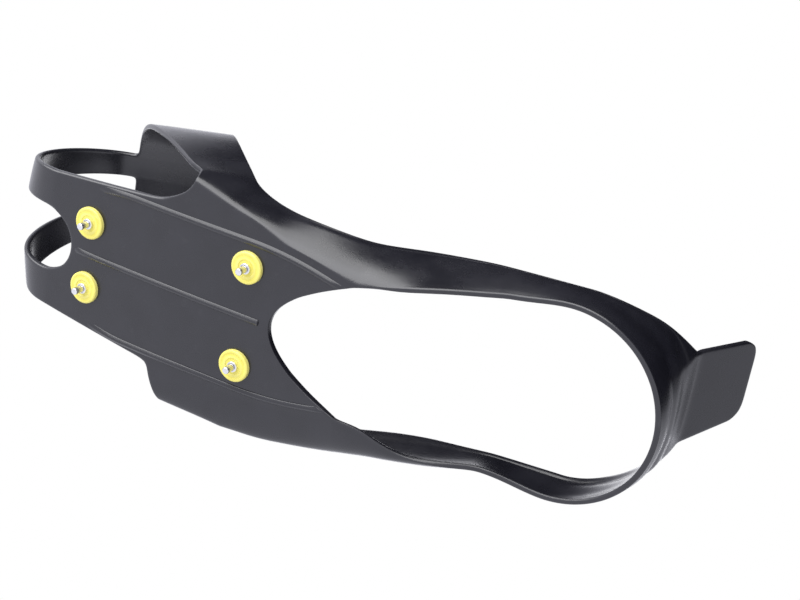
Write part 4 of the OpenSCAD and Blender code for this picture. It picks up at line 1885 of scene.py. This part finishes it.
@dataclass
class Studio:
    """Pale floor, soft lights, white surround and the camera, in metres and degrees."""

    floor_z: float = -0.0118
    floor_size: float = 6.0
    floor_colour: Colour = (0.94, 0.94, 0.93, 1.0)
    floor_rough: float = 0.7
    camera_at: Place = (-0.32822, 0.31967, -0.58715)
    camera_turn: Place = (160.278, -27.375, 169.745)
    lens: float = 76.5
    sensor: float = 36.0
    nearest: float = 0.01
    farthest: float = 50.0
    aim: Place = (-0.03, 0.0, 0.03)
    key: Lamp = Lamp("key_lamp", towards=(0.35, 0.9, -0.2), distance=1.2, size=1.8, power=40.0)
    top: Lamp = Lamp("top_lamp", towards=(0.366, -0.5, 0.8), distance=1.5, size=1.2, power=5.0)
    surround: float = 1.1
    tint: Colour = (0.97, 0.975, 1.07, 1.0)
    white: Colour = (1.0, 1.0, 1.0, 1.0)
    shades: tuple[Shade, ...] = (
        Shade(towards=(-0.3, 0.6, 0.74), start=0.5, full=0.645, level=0.0),
        Shade(towards=(-0.6, -0.42, 0.68), start=0.72, full=0.93, level=0.55),
    )

    def add_floor(self) -> bpy.types.Object:
        """Adds the floor, which is seen from above only and throws no shade on the underside.

        Returns:
            The floor.
        """
        bpy.ops.object.select_all(action="DESELECT")
        bpy.ops.mesh.primitive_plane_add(size=self.floor_size, location=(0.0, 0.0, 0.0))
        floor = bpy.context.object
        floor.name = "floor"
        floor.data.transform(Matrix.Translation((0.0, 0.0, self.floor_z)))
        material = bpy.data.materials.new("pale_floor")
        material.use_nodes = True
        bench = NodeBench(material.node_tree)
        shader = material.node_tree.nodes["Principled BSDF"]
        shader.inputs["Base Color"].default_value = self.floor_colour
        shader.inputs["Roughness"].default_value = self.floor_rough
        clear = bench.add("ShaderNodeBsdfTransparent")
        sides = bench.add("ShaderNodeNewGeometry")
        end = material.node_tree.nodes["Material Output"]
        bench.either(sides, "Backfacing", shader, clear, end)
        floor.data.materials.append(material)
        floor.visible_shadow = False
        floor.visible_diffuse = False
        floor.visible_glossy = False
        floor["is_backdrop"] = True
        return floor

    def add_lamp(self, lamp: Lamp) -> bpy.types.Object:
        """Adds a lamp that looks at the object.

        Args:
            lamp: What the lamp is like.

        Returns:
            The lamp.
        """
        data = bpy.data.lights.new(lamp.name, "AREA")
        data.shape = "SQUARE"
        data.size = lamp.size
        data.energy = lamp.power
        item = put_in_scene(lamp.name, data)
        direction = Vector(lamp.towards).normalized()
        item.location = Vector(self.aim) + direction * lamp.distance
        item.rotation_euler = direction.to_track_quat("Z", "Y").to_euler()
        return item

    def spare_floor(self, lamp: bpy.types.Object, floor: bpy.types.Object) -> None:
        """Keeps the light of a low lamp off the floor, where it would draw a hard edge.

        Args:
            lamp: The lamp.
            floor: The floor.
        """
        spared = bpy.data.collections.new("spared_floor")
        spared.objects.link(floor)
        spared.collection_objects[0].light_linking.link_state = "EXCLUDE"
        lamp.light_linking.receiver_collection = spared

    def add_surround(self) -> None:
        """Makes the surround: white to the camera, and as light even but for its dark patches."""
        world = bpy.data.worlds.new("white_surround")
        bpy.context.scene.world = world
        world.use_nodes = True
        bench = NodeBench(world.node_tree)
        nodes = world.node_tree.nodes
        lit = nodes["Background"]
        lit.inputs["Color"].default_value = self.tint
        place = bench.add("ShaderNodeTexCoord")
        levels = []
        for shade in self.shades:
            dot = bench.add("ShaderNodeVectorMath", {1: shade.towards}, operation="DOT_PRODUCT")
            bench.wire(place, "Generated", dot, 0)
            span = (shade.start, shade.full)
            level = bench.map_range(dot, "Value", span, (self.surround, shade.level))
            level.interpolation_type = "SMOOTHSTEP"
            levels.append((level, "Result"))
        lowest = bench.math("MINIMUM", *levels)
        bench.wire(lowest, "Value", lit, "Strength")
        plain = bench.add("ShaderNodeBackground", {"Color": self.white, "Strength": 1.0})
        path = bench.add("ShaderNodeLightPath")
        bench.either(path, "Is Camera Ray", lit, plain, nodes["World Output"])

    def add_camera(self) -> None:
        """Adds the camera at the photograph's angle."""
        data = bpy.data.cameras.new("camera")
        data.lens = self.lens
        data.sensor_width = self.sensor
        data.clip_start = self.nearest
        data.clip_end = self.farthest
        camera = put_in_scene("camera", data)
        camera.location = self.camera_at
        camera.rotation_euler = [math.radians(angle) for angle in self.camera_turn]
        bpy.context.scene.camera = camera

    def build(self) -> None:
        """Builds the whole studio."""
        bpy.context.scene.view_settings.view_transform = "Standard"
        self.add_camera()
        floor = self.add_floor()
        self.add_surround()
        key = self.add_lamp(self.key)
        self.spare_floor(key, floor)
        self.add_lamp(self.top)


def write_sizes() -> None:
    """Gathers the CAD box and the visual model's box side by side; the result is not kept."""
    boxes = {"cad": CAD_BOX, "visual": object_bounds()}
    {key: [list(corner) for corner in box] for key, box in boxes.items()}


def main() -> None:
    """Builds the ice cleat, piece by piece, and the studio round it."""
    logging.basicConfig(level=logging.INFO, format="%(name)s: %(message)s")
    Studio().build()
    grain = grain_group()
    wear = wear_group()
    rubber = RUBBER.material(grain, wear)
    yellow = YELLOW.material(grain, wear)
    steel = STEEL.material(grain, wear)
    plate = SolePlate()
    walls = {
        Side.LEFT: SideWall(plate, Side.LEFT, ARCH_RAIL),
        Side.RIGHT: SideWall(plate, Side.RIGHT, OUTER_RAIL),
    }
    straps = {
        Side.LEFT: ToeStrap(plate, walls[Side.LEFT], ARCH_FRONT, ARCH_REAR),
        Side.RIGHT: ToeStrap(plate, walls[Side.RIGHT], OUTER_FRONT, OUTER_REAR),
    }
    tab = PullTab(walls[Side.LEFT])
    harness = Harness(plate, walls, straps, tab)
    moulding, tab_piece = harness.build()
    harness.dress(moulding, rubber)
    tab.dress(tab_piece, rubber)
    for piece in (moulding, tab_piece):
        LOG.info("%s: %d faces", piece.name, len(piece.data.polygons))
    stud = Stud(plate)
    stud.build()
    finishes = {"disc": yellow, "collar": steel, "pin": steel}
    for row in StudRow:
        for side in Side:
            for piece in stud.place(row, side, finishes):
                LOG.info("%s: %d faces", piece.name, len(piece.data.polygons))
    stud.put_away()
    write_sizes()


if __name__ == "__main__":
    main()
